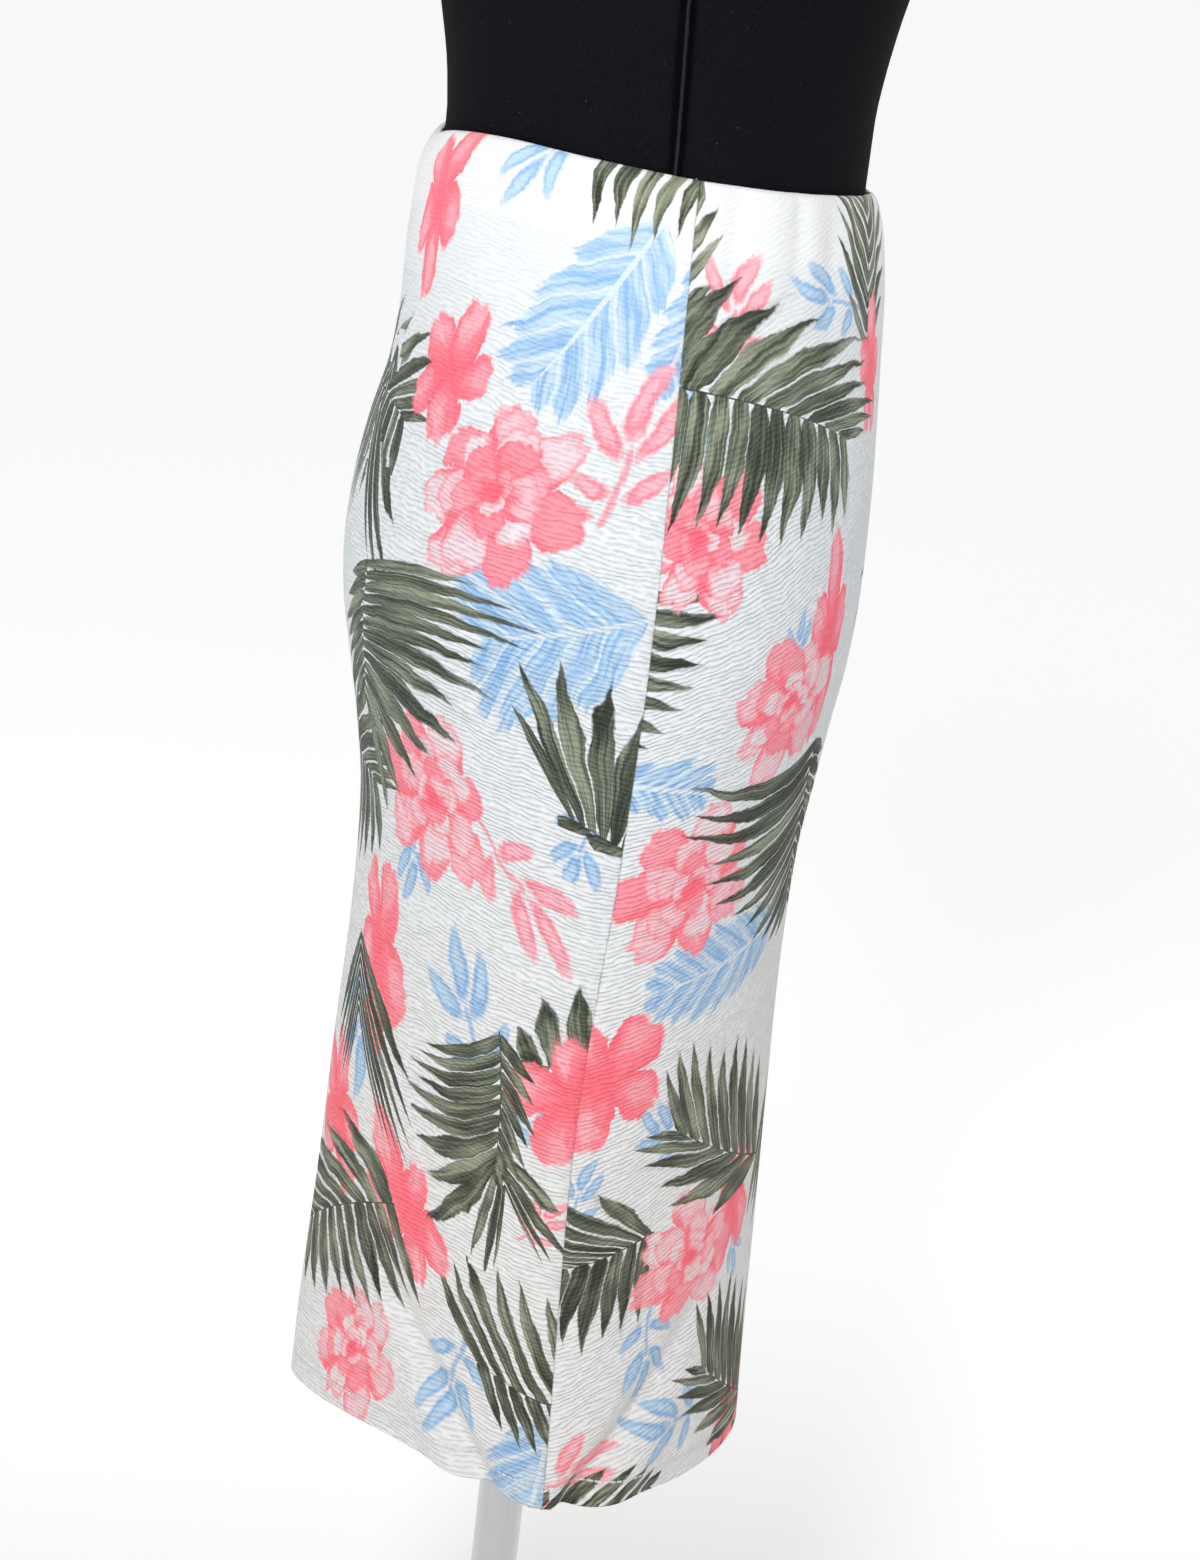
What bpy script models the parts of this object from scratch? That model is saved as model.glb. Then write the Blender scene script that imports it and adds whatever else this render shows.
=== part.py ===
"""A pull-on pencil skirt in crepe knit, worn by a limbless dress form on a round stand.

Metres, +Z up. The front faces -Y and the wearer's right is at -X. The origin is on the floor,
under the middle of the stand. The skirt is two panels, front and back, joined at the side seams.
Each panel is cut in one with its half of the waist casing and its half of the hem.
"""

import math
from collections import namedtuple

import bmesh
import bpy

# ---------------------------------------------------------------- driving dimensions, in metres
WAIST_HEIGHT = 1.03  # floor to the skirt's top edge, on average
SKIRT_LENGTH = 0.66  # top edge to hem

CLOTH = 0.0016  # one layer of crepe knit
CASING = 0.0040  # the turned-over top, with its elastic inside
CASING_DEPTH = 0.030
HEM = 0.0026  # the turned-up hem
HEM_DEPTH = 0.014
PIECE_GAP = 0.0003  # between pieces that touch
SEAM_STRIP = 0.002  # the flat strip beside each side seam

PANEL_COLUMNS = 38  # cells across a panel, between its two seam strips
QUARTER_STEPS = 11  # cells round each quarter of the dress form

BUST_RISE = 0.180  # the bust's middle above the waist
BUST_ASIDE = 0.078  # and out from the centre
BUST_HEIGHT = 0.060
BUST_WIDTH = 0.050
BUST_DEPTH = 0.016

NECK_CAP_RADIUS = 0.061
NECK_CAP_THICKNESS = 0.012
POLE_RADIUS = 0.0125
FLANGE_RADIUS = 0.045
FLANGE_THICKNESS = 0.005
FLANGE_FILLET = 0.010
BASE_RADIUS = 0.200
BASE_EDGE = 0.006
BASE_DOME = 0.016
HUB_RADIUS = 0.024
HUB_TOP = 0.052
SOCKET_FLOOR = 0.008
BASE_SIDES = 64
POLE_SIDES = 24
NECK_CAP_SIDES = 40

CM = 0.01

# ---------------------------------------------------------------- tables, in centimetres
# Each ring of cloth, by its distance down from the top edge.
RING_DROPS = (
    0, 0.5, 1.3, 2.2, 3.1, 4.2, 5.6, 7.4, 9.4, 11.4, 13.4, 15.4, 17.4, 19.6, 22, 24.5, 27,
    30, 33.5, 37, 41, 45, 49, 52.5, 56, 59, 61.5, 63.5, 65, 66,
)

# The cloth's outer outline. front and back are measured from the line of the side seams, seam_y.
# The rounds say how full each quarter is, at its side and at its middle: 0.56 draws an ellipse.
Outline = namedtuple("Outline", "drop half_width seam_y front back side_f end_f side_b end_b")
OUTLINES = (
    Outline(0.0, 13.15, -1.3, 9.60, 12.02, 0.56, 0.58, 0.56, 0.58),
    Outline(0.6, 13.45, -1.3, 9.90, 12.38, 0.56, 0.58, 0.56, 0.58),
    Outline(1.5, 13.65, -1.3, 10.20, 12.66, 0.56, 0.58, 0.56, 0.58),
    Outline(3.0, 13.90, -1.3, 10.50, 12.78, 0.56, 0.58, 0.56, 0.58),
    Outline(5.0, 14.30, -1.3, 10.75, 12.90, 0.56, 0.58, 0.56, 0.58),
    Outline(8.0, 15.05, -1.3, 10.95, 12.92, 0.56, 0.58, 0.56, 0.58),
    Outline(11.0, 15.85, -1.3, 11.15, 13.20, 0.56, 0.58, 0.56, 0.58),
    Outline(14.0, 16.45, -1.3, 11.32, 13.92, 0.56, 0.58, 0.56, 0.58),
    Outline(17.0, 16.90, -1.3, 11.40, 14.42, 0.56, 0.58, 0.56, 0.58),
    Outline(20.0, 17.05, -1.3, 11.40, 14.60, 0.55, 0.58, 0.55, 0.58),
    Outline(23.0, 16.95, -1.3, 11.22, 14.38, 0.54, 0.57, 0.54, 0.56),
    Outline(26.0, 16.65, -1.25, 10.88, 13.75, 0.52, 0.55, 0.50, 0.54),
    Outline(29.0, 16.25, -1.2, 10.58, 13.08, 0.50, 0.54, 0.47, 0.52),
    Outline(33.0, 15.70, -1.1, 10.25, 12.42, 0.48, 0.53, 0.44, 0.48),
    Outline(39.0, 15.00, -0.8, 10.45, 12.00, 0.45, 0.52, 0.38, 0.44),
    Outline(46.0, 14.40, -0.6, 10.85, 12.05, 0.42, 0.50, 0.32, 0.38),
    Outline(54.0, 13.95, -0.8, 10.95, 12.48, 0.38, 0.46, 0.26, 0.32),
    Outline(61.0, 13.65, -1.05, 10.95, 13.05, 0.36, 0.42, 0.22, 0.27),
    Outline(66.0, 13.50, -1.2, 11.05, 13.30, 0.34, 0.40, 0.20, 0.25),
)

# How far the top edge and the hem stand above their level heights, by how far a place lies from
# a side seam, 0, to the panel's middle, 1.
Edge = namedtuple("Edge", "across top foot")
FRONT_EDGES = (
    Edge(0.00, 0.30, 0.00),
    Edge(0.25, 0.12, 0.00),
    Edge(0.50, 0.00, -0.22),
    Edge(0.75, -0.12, -0.25),
    Edge(1.00, -0.24, -0.10),
)
BACK_EDGES = (
    Edge(0.00, 0.30, 0.00),
    Edge(0.25, 0.70, 0.40),
    Edge(0.50, 1.00, 0.55),
    Edge(0.75, 0.80, 0.30),
    Edge(1.00, 0.15, 0.12),
)

# Soft troughs in the cloth. along is the distance across the panel from the right side seam to
# the trough's top, and slant is how far it has moved across by its foot. One whose foot lies
# below the hem is deepest at the hem.
Crease = namedtuple("Crease", "along top foot slant width depth")
FRONT_CREASES = (
    Crease(2.6, 0.9, 8.5, 0.3, 1.1, 0.16),
    Crease(5.0, 0.9, 9.5, 0.6, 1.3, 0.20),
    Crease(8.4, 0.9, 7.0, 0.4, 1.2, 0.12),
    Crease(13.0, 0.9, 6.5, 0.2, 1.3, 0.10),
    Crease(20.5, 0.9, 7.5, -0.2, 1.4, 0.12),
    Crease(27.6, 0.9, 6.5, -0.3, 1.2, 0.10),
    Crease(32.6, 0.9, 8.5, -0.5, 1.3, 0.18),
    Crease(36.0, 0.9, 9.0, -0.2, 1.2, 0.15),
    Crease(11.5, 50.0, 69.0, -6.0, 2.3, 0.34),
    Crease(26.0, 52.0, 69.0, 5.0, 2.4, 0.28),
    Crease(19.0, 56.0, 69.0, 1.0, 2.6, 0.18),
)
BACK_CREASES = (
    Crease(4.0, 0.9, 6.5, 0.2, 1.2, 0.10),
    Crease(9.5, 0.9, 6.0, 0.1, 1.4, 0.08),
    Crease(16.5, 0.9, 7.5, 0.0, 1.3, 0.12),
    Crease(24.0, 0.9, 7.0, -0.2, 1.4, 0.11),
    Crease(31.5, 0.9, 6.0, -0.2, 1.3, 0.09),
    Crease(37.0, 0.9, 6.5, -0.3, 1.2, 0.12),
    Crease(7.0, 56.0, 69.0, -2.0, 1.6, 0.22),
    Crease(11.0, 55.0, 69.0, -2.4, 1.7, 0.16),
    Crease(32.0, 55.0, 69.0, 2.2, 1.8, 0.22),
)

# How far the form's surface lies inside the cloth's outer outline, by distance down from the
# top edge: the casing grips it, and the hips fill the skirt.
Ease = namedtuple("Ease", "drop inset")
FORM_EASE = (
    Ease(0.0, 0.46),
    Ease(0.6, 0.74),
    Ease(1.3, 0.84),
    Ease(2.6, 0.80),
    Ease(5.0, 0.54),
    Ease(8.0, 0.42),
    Ease(12.0, 0.28),
    Ease(17.0, 0.22),
    Ease(19.0, 0.22),
    Ease(21.5, 0.34),
    Ease(24.0, 0.62),
    Ease(27.0, 1.00),
    Ease(28.5, 1.90),
)
FORM_DROPS = (28.5, 27.6, 26, 24, 22, 20, 18, 16, 14, 12, 10, 8, 6, 4.2, 2.6, 1.2, 0)

# The form above the skirt, in centimetres above the waist, and where its rings lie.
Ring = namedtuple("Ring", "rise half_width side_y front back side end")
FORM_RINGS = (
    Ring(1.4, 12.66, -1.3, 9.15, 11.52, 0.56, 0.58),
    Ring(4.0, 12.75, -1.2, 9.32, 11.70, 0.56, 0.58),
    Ring(8.0, 13.30, -1.0, 10.10, 12.30, 0.56, 0.58),
    Ring(12.0, 14.10, -0.8, 11.10, 12.60, 0.57, 0.60),
    Ring(16.0, 15.00, -0.6, 11.80, 12.70, 0.58, 0.62),
    Ring(20.0, 15.70, -0.4, 12.10, 12.60, 0.58, 0.62),
    Ring(24.0, 16.40, -0.2, 11.80, 12.30, 0.57, 0.60),
    Ring(28.0, 17.20, 0.0, 10.70, 11.50, 0.56, 0.58),
    Ring(31.0, 17.60, 0.2, 9.60, 10.50, 0.56, 0.56),
    Ring(33.0, 17.55, 0.3, 8.80, 9.60, 0.56, 0.54),
    Ring(34.5, 17.00, 0.3, 8.10, 8.90, 0.55, 0.52),
    Ring(35.6, 15.80, 0.3, 7.60, 8.40, 0.53, 0.50),
    Ring(36.6, 13.80, 0.2, 7.10, 7.90, 0.50, 0.50),
    Ring(37.5, 11.40, 0.2, 6.70, 7.40, 0.50, 0.52),
    Ring(38.4, 9.00, 0.1, 6.30, 6.90, 0.52, 0.54),
    Ring(39.4, 7.30, 0.0, 5.90, 6.40, 0.55, 0.55),
    Ring(41.0, 6.30, 0.0, 5.70, 6.00, 0.55, 0.55),
    Ring(43.0, 5.90, 0.0, 5.60, 5.80, 0.55, 0.55),
)
FORM_RISES = (
    1.4, 4, 7, 10, 12.5, 15, 17, 19, 21, 23.5, 26, 28.5, 31, 33, 34.5, 35.6, 36.6, 37.5, 38.4,
    39.4, 41, 43,
)

# ---------------------------------------------------------------- finishes
Finish = namedtuple("Finish", "colour roughness metallic")
FINISHES = {
    "crepe_print": Finish((0.86, 0.86, 0.84), 0.85, 0.0),
    "black_jersey": Finish((0.012, 0.012, 0.014), 0.80, 0.0),
    "black_cap": Finish((0.02, 0.02, 0.022), 0.45, 0.0),
    "brushed_steel": Finish((0.62, 0.63, 0.64), 0.35, 1.0),
}


def read_table(rows, at):
    """The columns of a table at a value of its first column, on a smooth curve through its rows."""
    keys = [row[0] for row in rows]
    at = min(max(at, keys[0]), keys[-1])
    low = max(k for k in range(len(rows) - 1) if keys[k] <= at)
    span = keys[low + 1] - keys[low]
    t = (at - keys[low]) / span

    def slope(k, column):
        before, after = max(k - 1, 0), min(k + 1, len(rows) - 1)
        return (rows[after][column] - rows[before][column]) / (keys[after] - keys[before])

    found = []
    for column in range(len(rows[0])):
        start, end = rows[low][column], rows[low + 1][column]
        leaving, arriving = slope(low, column) * span, slope(low + 1, column) * span
        found.append(
            (2 * t**3 - 3 * t**2 + 1) * start
            + (t**3 - 2 * t**2 + t) * leaving
            + (3 * t**2 - 2 * t**3) * end
            + (t**3 - t**2) * arriving
        )
    return type(rows[0])(*found)


def smoothstep(low, high, value):
    t = min(max((value - low) / (high - low), 0.0), 1.0)
    return t * t * (3 - 2 * t)


def quarter(half_width, depth, side_round, end_round, steps=40):
    """A quarter outline, from (half_width, 0) at the side to (0, depth) at the middle."""
    corners = (
        (half_width, 0.0),
        (half_width, side_round * depth),
        (end_round * half_width, depth),
        (0.0, depth),
    )
    points = []
    for k in range(steps + 1):
        t = k / steps
        weights = ((1 - t) ** 3, 3 * t * (1 - t) ** 2, 3 * t * t * (1 - t), t**3)
        points.append(tuple(sum(w * c[i] for w, c in zip(weights, corners)) for i in (0, 1)))
    return points


def spread(points, cells):
    """The ends of that many equal cells along a polyline, and the polyline's length."""
    lengths = [0.0]
    for a, b in zip(points, points[1:]):
        lengths.append(lengths[-1] + math.dist(a, b))
    found, k = [], 0
    for cell in range(cells + 1):
        want = lengths[-1] * cell / cells
        while k < len(points) - 2 and lengths[k + 1] < want:
            k += 1
        t = (want - lengths[k]) / (lengths[k + 1] - lengths[k])
        found.append(tuple(a + t * (b - a) for a, b in zip(points[k], points[k + 1])))
    return found, lengths[-1]


def panel_ring(drop, facing):
    """Points across a panel at one ring, right side seam to left, with the panel's width there.
    facing is -1 for the front and 1 for the back. The first and last cells are seam strips."""
    outline = read_table(OUTLINES, drop)
    if facing < 0:
        depth, side, end = outline.front, outline.side_f, outline.end_f
    else:
        depth, side, end = outline.back, outline.side_b, outline.end_b
    arc = quarter(outline.half_width * CM, depth * CM - SEAM_STRIP, side, end)
    whole = [(-x, y) for x, y in arc] + [(x, y) for x, y in arc[-2::-1]]
    inner, width = spread(whole, PANEL_COLUMNS)
    ring = [(x, outline.seam_y * CM + facing * (SEAM_STRIP + y)) for x, y in inner]
    seam = outline.seam_y * CM + facing * PIECE_GAP / 2
    return [(ring[0][0], seam), *ring, (ring[-1][0], seam)], width


def crease_dip(creases, along, drop, width):
    """How far the cloth dips inwards at a place. All but the answer are in centimetres."""
    dip = 0.0
    for crease in creases:
        if not crease.top < drop < crease.foot:
            continue
        down = (drop - crease.top) / (crease.foot - crease.top)
        across = (along - crease.along - crease.slant * down) / crease.width
        at_hem = crease.foot > SKIRT_LENGTH / CM
        depth = math.sin(math.pi * down * (0.5 if at_hem else 1.0)) ** 1.3
        dip += crease.depth * math.exp(-across * across) * depth
    return dip * smoothstep(0, 1.5, along) * smoothstep(0, 1.5, width - along) * CM


def panel_point(rings, row, column, facing, creases):
    """A point of a panel's outer face, measured from the waist."""
    ring, width = rings[row]
    drop = RING_DROPS[row]
    cell = min(max(column - 1, 0), PANEL_COLUMNS)
    edge = read_table(FRONT_EDGES if facing < 0 else BACK_EDGES, 1 - abs(1 - 2 * cell / PANEL_COLUMNS))
    top, foot = edge.top * CM, edge.foot * CM - SKIRT_LENGTH
    before, after = ring[max(column - 1, 0)], ring[min(column + 1, len(ring) - 1)]
    run = math.dist(before, after)
    inward = (facing * (after[1] - before[1]) / run, -facing * (after[0] - before[0]) / run)
    dip = crease_dip(creases, cell / PANEL_COLUMNS * width / CM, drop, width / CM)
    height = top + (foot - top) * drop * CM / SKIRT_LENGTH
    return ring[column][0] + inward[0] * dip, ring[column][1] + inward[1] * dip, height


def wall_share(drop):
    """How far a wall is on its way from one layer of cloth to the casing's thickness."""
    casing = 1 - smoothstep(0.5 * CASING_DEPTH, CASING_DEPTH, drop)
    hem = smoothstep(SKIRT_LENGTH - HEM_DEPTH, SKIRT_LENGTH - 0.6 * HEM_DEPTH, drop)
    return max(casing, hem * (HEM - CLOTH) / (CASING - CLOTH))


def finish_of(name):
    material = bpy.data.materials.new(name)
    material.use_nodes = True
    finish = FINISHES[name]
    shader = material.node_tree.nodes["Principled BSDF"]
    shader.inputs["Base Color"].default_value = (*finish.colour, 1.0)
    shader.inputs["Roughness"].default_value = finish.roughness
    shader.inputs["Metallic"].default_value = finish.metallic
    material.diffuse_color = (*finish.colour, 1.0)
    return material


def add_part(name, shape, material, height=0.0):
    """Turns a bmesh into the named object, standing at a height under the model's empty."""
    mesh = bpy.data.meshes.new(name)
    shape.to_mesh(mesh)
    shape.free()
    mesh.shade_smooth()
    mesh.materials.append(material)
    piece = bpy.data.objects.new(name, mesh)
    piece.location.z = height
    piece.parent = model_empty
    model.objects.link(piece)
    return piece


def build_panel(name, facing, creases):
    """A panel of cloth: an open sheet on its outer face, thickened inwards."""
    columns = PANEL_COLUMNS + 2
    rows = len(RING_DROPS) - 1
    rings = [panel_ring(drop, facing) for drop in RING_DROPS]
    sheet = bmesh.new()
    bmesh.ops.create_grid(sheet, x_segments=columns, y_segments=rows, size=0.5)
    places = {}
    for vert in sheet.verts:
        column = round((vert.co.x + 0.5) * columns)
        row = round((0.5 - vert.co.y) * rows)
        places[vert.index] = row
        vert.co = panel_point(rings, row, column, facing, creases)
    if facing > 0:
        bmesh.ops.reverse_faces(sheet, faces=sheet.faces)
    panel = add_part(name, sheet, finishes["crepe_print"], WAIST_HEIGHT)
    thick = panel.vertex_groups.new(name="thick")
    for index, row in places.items():
        thick.add([index], wall_share(RING_DROPS[row] * CM), "REPLACE")
    wall = panel.modifiers.new("wall", "SOLIDIFY")
    wall.thickness = CASING
    wall.offset = -1
    wall.vertex_group = "thick"
    wall.thickness_vertex_group = CLOTH / CASING
    wall.use_even_offset = True
    wall.use_quality_normals = True
    return panel


def form_rings():
    """The dress form's outlines from its underside up: those that fill the skirt, then the rest."""
    rings = []
    for drop in FORM_DROPS:
        outline = read_table(OUTLINES, drop)
        inset = read_table(FORM_EASE, drop).inset
        ring = Ring(
            -drop,
            outline.half_width - inset,
            outline.seam_y,
            outline.front - inset,
            outline.back - inset,
            outline.side_f,
            outline.end_f,
        )
        rings.append((ring, outline.side_b, outline.end_b))
    upper = [read_table(FORM_RINGS, rise) for rise in FORM_RISES]
    return rings + [(ring, ring.side, ring.end) for ring in upper]


def form_ring_points(ring, side_b, end_b):
    """Points round the form, from its left side round the back, the right side and the front."""
    half_width, front, back = ring.half_width * CM, ring.front * CM, ring.back * CM
    behind, _ = spread(quarter(half_width, back, side_b, end_b), QUARTER_STEPS)
    before, _ = spread(quarter(half_width, front, ring.side, ring.end), QUARTER_STEPS)
    points = list(behind)
    points += [(-x, y) for x, y in behind[-2::-1]]
    points += [(-x, -y) for x, y in before[1:]]
    points += [(x, -y) for x, y in before[-2:0:-1]]
    found = []
    for x, y in points:
        aside = (abs(x) - BUST_ASIDE) / BUST_WIDTH
        above = (ring.rise * CM - BUST_RISE) / BUST_HEIGHT
        swell = BUST_DEPTH * math.exp(-aside * aside - above * above) if y < 0 else 0.0
        found.append((x, ring.side_y * CM + y - swell, ring.rise * CM))
    return found


def build_form():
    """The body of the dress form, drawn up from its flat underside ring by ring."""
    rings = form_rings()
    body = bmesh.new()
    sides = 4 * QUARTER_STEPS
    first = bmesh.ops.create_circle(body, segments=sides, radius=0.1)["verts"]
    first.sort(key=lambda vert: math.atan2(vert.co.y, vert.co.x) % math.tau)
    for vert, place in zip(first, form_ring_points(*rings[0])):
        vert.co = place
    bmesh.ops.contextual_create(body, geom=first)
    loop = first
    for ring in rings[1:]:
        edges = [body.edges.get((a, b)) for a, b in zip(loop, loop[1:] + loop[:1])]
        drawn = bmesh.ops.extrude_edge_only(body, edges=edges)["geom"]
        fresh = {item for item in drawn if isinstance(item, bmesh.types.BMVert)}
        loop = [
            next(edge.other_vert(vert) for edge in vert.link_edges if edge.other_vert(vert) in fresh)
            for vert in loop
        ]
        for vert, place in zip(loop, form_ring_points(*ring)):
            vert.co = place
    bmesh.ops.contextual_create(body, geom=loop)
    bmesh.ops.recalc_face_normals(body, faces=body.faces)
    form = add_part("form_torso", body, finishes["black_jersey"], WAIST_HEIGHT)
    form.data.set_sharp_from_angle(angle=math.radians(50))
    return form


def turned(name, profile, sides, material, height=0.0):
    """A turned solid from its profile, (radius, height) pairs down its outer side."""
    outline = bmesh.new()
    corners = [outline.verts.new((radius, 0.0, up)) for radius, up in profile]
    for a, b in zip(corners, corners[1:]):
        outline.edges.new((a, b))
    piece = add_part(name, outline, material, height)
    turn = piece.modifiers.new("turn", "SCREW")
    turn.steps = sides
    turn.render_steps = sides
    turn.use_merge_vertices = True
    turn.merge_threshold = 0.00005
    turn.use_smooth_shade = True
    return piece


def arc_of(middle, radius, start, end, steps=4):
    """Points on a round corner of a profile, between two angles in degrees."""
    angles = [math.radians(start + (end - start) * k / steps) for k in range(steps + 1)]
    return [(middle[0] + radius * math.cos(a), middle[1] + radius * math.sin(a)) for a in angles]


def build_neck_cap():
    round_corner = NECK_CAP_THICKNESS * 0.4
    shoulder = (NECK_CAP_RADIUS - round_corner, NECK_CAP_THICKNESS - round_corner)
    profile = [
        (0.0, NECK_CAP_THICKNESS),
        *arc_of(shoulder, round_corner, 90, 0),
        (NECK_CAP_RADIUS, 0.0),
        (0.0, 0.0),
    ]
    seat = WAIST_HEIGHT + FORM_RISES[-1] * CM + PIECE_GAP
    return turned("form_neck_cap", profile, NECK_CAP_SIDES, finishes["black_cap"], seat)


def build_pole():
    """The pole with its welded flange, from the base's socket up to the form's underside."""
    foot = SOCKET_FLOOR + PIECE_GAP
    head = WAIST_HEIGHT - FORM_DROPS[0] * CM - PIECE_GAP
    collar = head - FLANGE_THICKNESS
    profile = [
        (0.0, head),
        (FLANGE_RADIUS, head),
        (FLANGE_RADIUS, collar),
        *arc_of((POLE_RADIUS + FLANGE_FILLET, collar - FLANGE_FILLET), FLANGE_FILLET, 90, 180),
        (POLE_RADIUS, foot),
        (0.0, foot),
    ]
    return turned("stand_pole", profile, POLE_SIDES, finishes["brushed_steel"])


def build_base():
    """The round weighted base, with a hub and the socket that the pole stands in."""
    bore = POLE_RADIUS + PIECE_GAP
    fillet = 0.012
    profile = [
        (0.0, SOCKET_FLOOR),
        (bore, SOCKET_FLOOR),
        (bore, HUB_TOP),
        (HUB_RADIUS - 0.003, HUB_TOP),
        (HUB_RADIUS, HUB_TOP - 0.003),
        *arc_of((HUB_RADIUS + fillet, BASE_DOME + fillet), fillet, 180, 270),
        *arc_of((BASE_RADIUS - BASE_EDGE, 0.004), BASE_EDGE, 80, 0),
        (BASE_RADIUS, 0.0),
        (0.0, 0.0),
    ]
    return turned("stand_base", profile, BASE_SIDES, finishes["brushed_steel"])


for old in list(bpy.data.objects):
    bpy.data.objects.remove(old, do_unlink=True)

model = bpy.data.collections.new("pencil_skirt_on_form")
bpy.context.scene.collection.children.link(model)
model_empty = bpy.data.objects.new("floor_centre", None)
model.objects.link(model_empty)
finishes = {name: finish_of(name) for name in FINISHES}

build_panel("skirt_front", -1, FRONT_CREASES)
build_panel("skirt_back", 1, BACK_CREASES)
build_form()
build_neck_cap()
build_pole()
build_base()
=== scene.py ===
import math

import bmesh
import bpy
import numpy as np
from mathutils import Matrix, Vector


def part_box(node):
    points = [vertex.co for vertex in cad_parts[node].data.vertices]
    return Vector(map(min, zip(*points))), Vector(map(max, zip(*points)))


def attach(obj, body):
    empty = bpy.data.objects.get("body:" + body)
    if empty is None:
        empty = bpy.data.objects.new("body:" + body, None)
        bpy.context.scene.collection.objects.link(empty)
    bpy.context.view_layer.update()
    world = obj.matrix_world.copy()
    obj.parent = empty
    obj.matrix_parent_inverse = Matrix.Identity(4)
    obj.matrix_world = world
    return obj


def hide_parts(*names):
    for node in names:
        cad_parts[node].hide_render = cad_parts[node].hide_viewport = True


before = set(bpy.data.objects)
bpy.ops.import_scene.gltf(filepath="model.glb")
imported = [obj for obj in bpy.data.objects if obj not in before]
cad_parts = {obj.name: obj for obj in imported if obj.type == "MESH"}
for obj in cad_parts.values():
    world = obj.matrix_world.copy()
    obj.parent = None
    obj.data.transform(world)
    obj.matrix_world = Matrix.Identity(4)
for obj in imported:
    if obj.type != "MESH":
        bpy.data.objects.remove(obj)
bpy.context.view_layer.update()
cm = 0.01  # the tables of the skirt, its print and the form are in centimetres
print("frame loaded:", ", ".join(sorted(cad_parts)))


# a socket that Python's operators can work on
class Wire:
    def __init__(self, finish, socket):
        self.finish, self.socket = finish, socket

    def maths(self, operation, *others):
        values = dict(enumerate((self, *others)))
        return self.finish.node("ShaderNodeMath", {"operation": operation}, values)

    def operator(operation):
        return lambda self, other: self.maths(operation, other)

    __add__ = __radd__ = operator("ADD")
    __mul__ = __rmul__ = operator("MULTIPLY")
    __sub__ = operator("SUBTRACT")
    __truediv__ = operator("DIVIDE")
    __pow__ = operator("POWER")
    __gt__ = operator("GREATER_THAN")
    __lt__ = operator("LESS_THAN")
    atLeast, atMost = operator("MAXIMUM"), operator("MINIMUM")

    def smooth(self, low, high):  # 0 at low, 1 at high
        settings = {"interpolation_type": "SMOOTHSTEP"}
        values = {"Value": self, "From Min": low, "From Max": high}
        return self.finish.node("ShaderNodeMapRange", settings, values)

    def __rsub__(self, other):
        return self.maths("MULTIPLY_ADD", -1.0, other)

    def __abs__(self):
        return self.maths("ABSOLUTE")


# a node material with its Principled shader, and the few ways that its nodes are added
class Finish:
    def __init__(self, name, **constants):
        self.material = bpy.data.materials.new(name)
        self.material.use_nodes = True
        self.tree = self.material.node_tree
        self.shader = self.tree.nodes["Principled BSDF"]
        for socket, value in constants.items():
            self.shader.inputs[socket.replace("_", " ")].default_value = value

    def node(self, kind, settings, values, out=0):
        made = self.tree.nodes.new(kind)
        for name, value in settings.items():
            if name == "stops":
                for stop, (at, shade) in zip(self.stopsOf(made, len(value)), value):
                    stop.position, stop.color = at, shade
            else:
                setattr(made, name, value)
        for name, value in values.items():
            if isinstance(value, Wire):
                self.tree.links.new(value.socket, made.inputs[name])
            else:
                made.inputs[name].default_value = value
        return Wire(self, made.outputs[out])

    def stopsOf(self, made, count):
        while len(made.color_ramp.elements) < count:
            made.color_ramp.elements.new(0.5)
        return made.color_ramp.elements

    def attribute(self, name):
        return self.node("ShaderNodeAttribute", {"attribute_name": name}, {}, "Vector")

    def objectPlace(self):
        return self.node("ShaderNodeTexCoord", {}, {}, "Object")

    def length(self, x, y):
        return (x * x + y * y).maths("SQRT")

    def split(self, vector):
        made = self.node("ShaderNodeSeparateXYZ", {}, {0: vector}).socket.node
        return [Wire(self, socket) for socket in made.outputs]

    def join(self, x, y, z=0.0):
        return self.node("ShaderNodeCombineXYZ", {}, {0: x, 1: y, 2: z})

    def noise(self, place, scale, detail=1.0, rough=0.5, out=0):
        values = {"Vector": place, "Scale": scale, "Detail": detail, "Roughness": rough}
        return self.node("ShaderNodeTexNoise", {}, values, out)

    def streaks(self, x, y, z, detail=2.0, rough=0.6):  # noise that is longer one way
        return self.noise(self.join(x, y, z), 1.0, detail, rough)

    def dice(self, x, y, z=0.0):  # three random numbers for a cell
        values = {"Vector": self.join(x, y, z)}
        made = self.node("ShaderNodeTexWhiteNoise", {}, values, "Color")
        return self.split(made)

    def scaled(self, vector, by):  # a vector or a colour times another
        return self.node("ShaderNodeVectorMath", {"operation": "MULTIPLY"}, {0: vector, 1: by})

    def mix(self, factor, low, high):  # of two colours
        settings = {"data_type": "RGBA", "clamp_factor": True}
        return self.node("ShaderNodeMix", settings, {0: factor, 6: low, 7: high}, 2)

    def ramp(self, value, *stops):
        return self.node("ShaderNodeValToRGB", {"stops": stops}, {0: value})

    def bump(self, height, distance, strength=1.0):
        values = {"Height": height, "Distance": distance, "Strength": strength}
        return self.node("ShaderNodeBump", {}, values)

    def wear(self, **wires):
        for socket, wire in wires.items():
            self.tree.links.new(wire.socket, self.shader.inputs[socket.replace("_", " ")])
        return self.material


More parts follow.
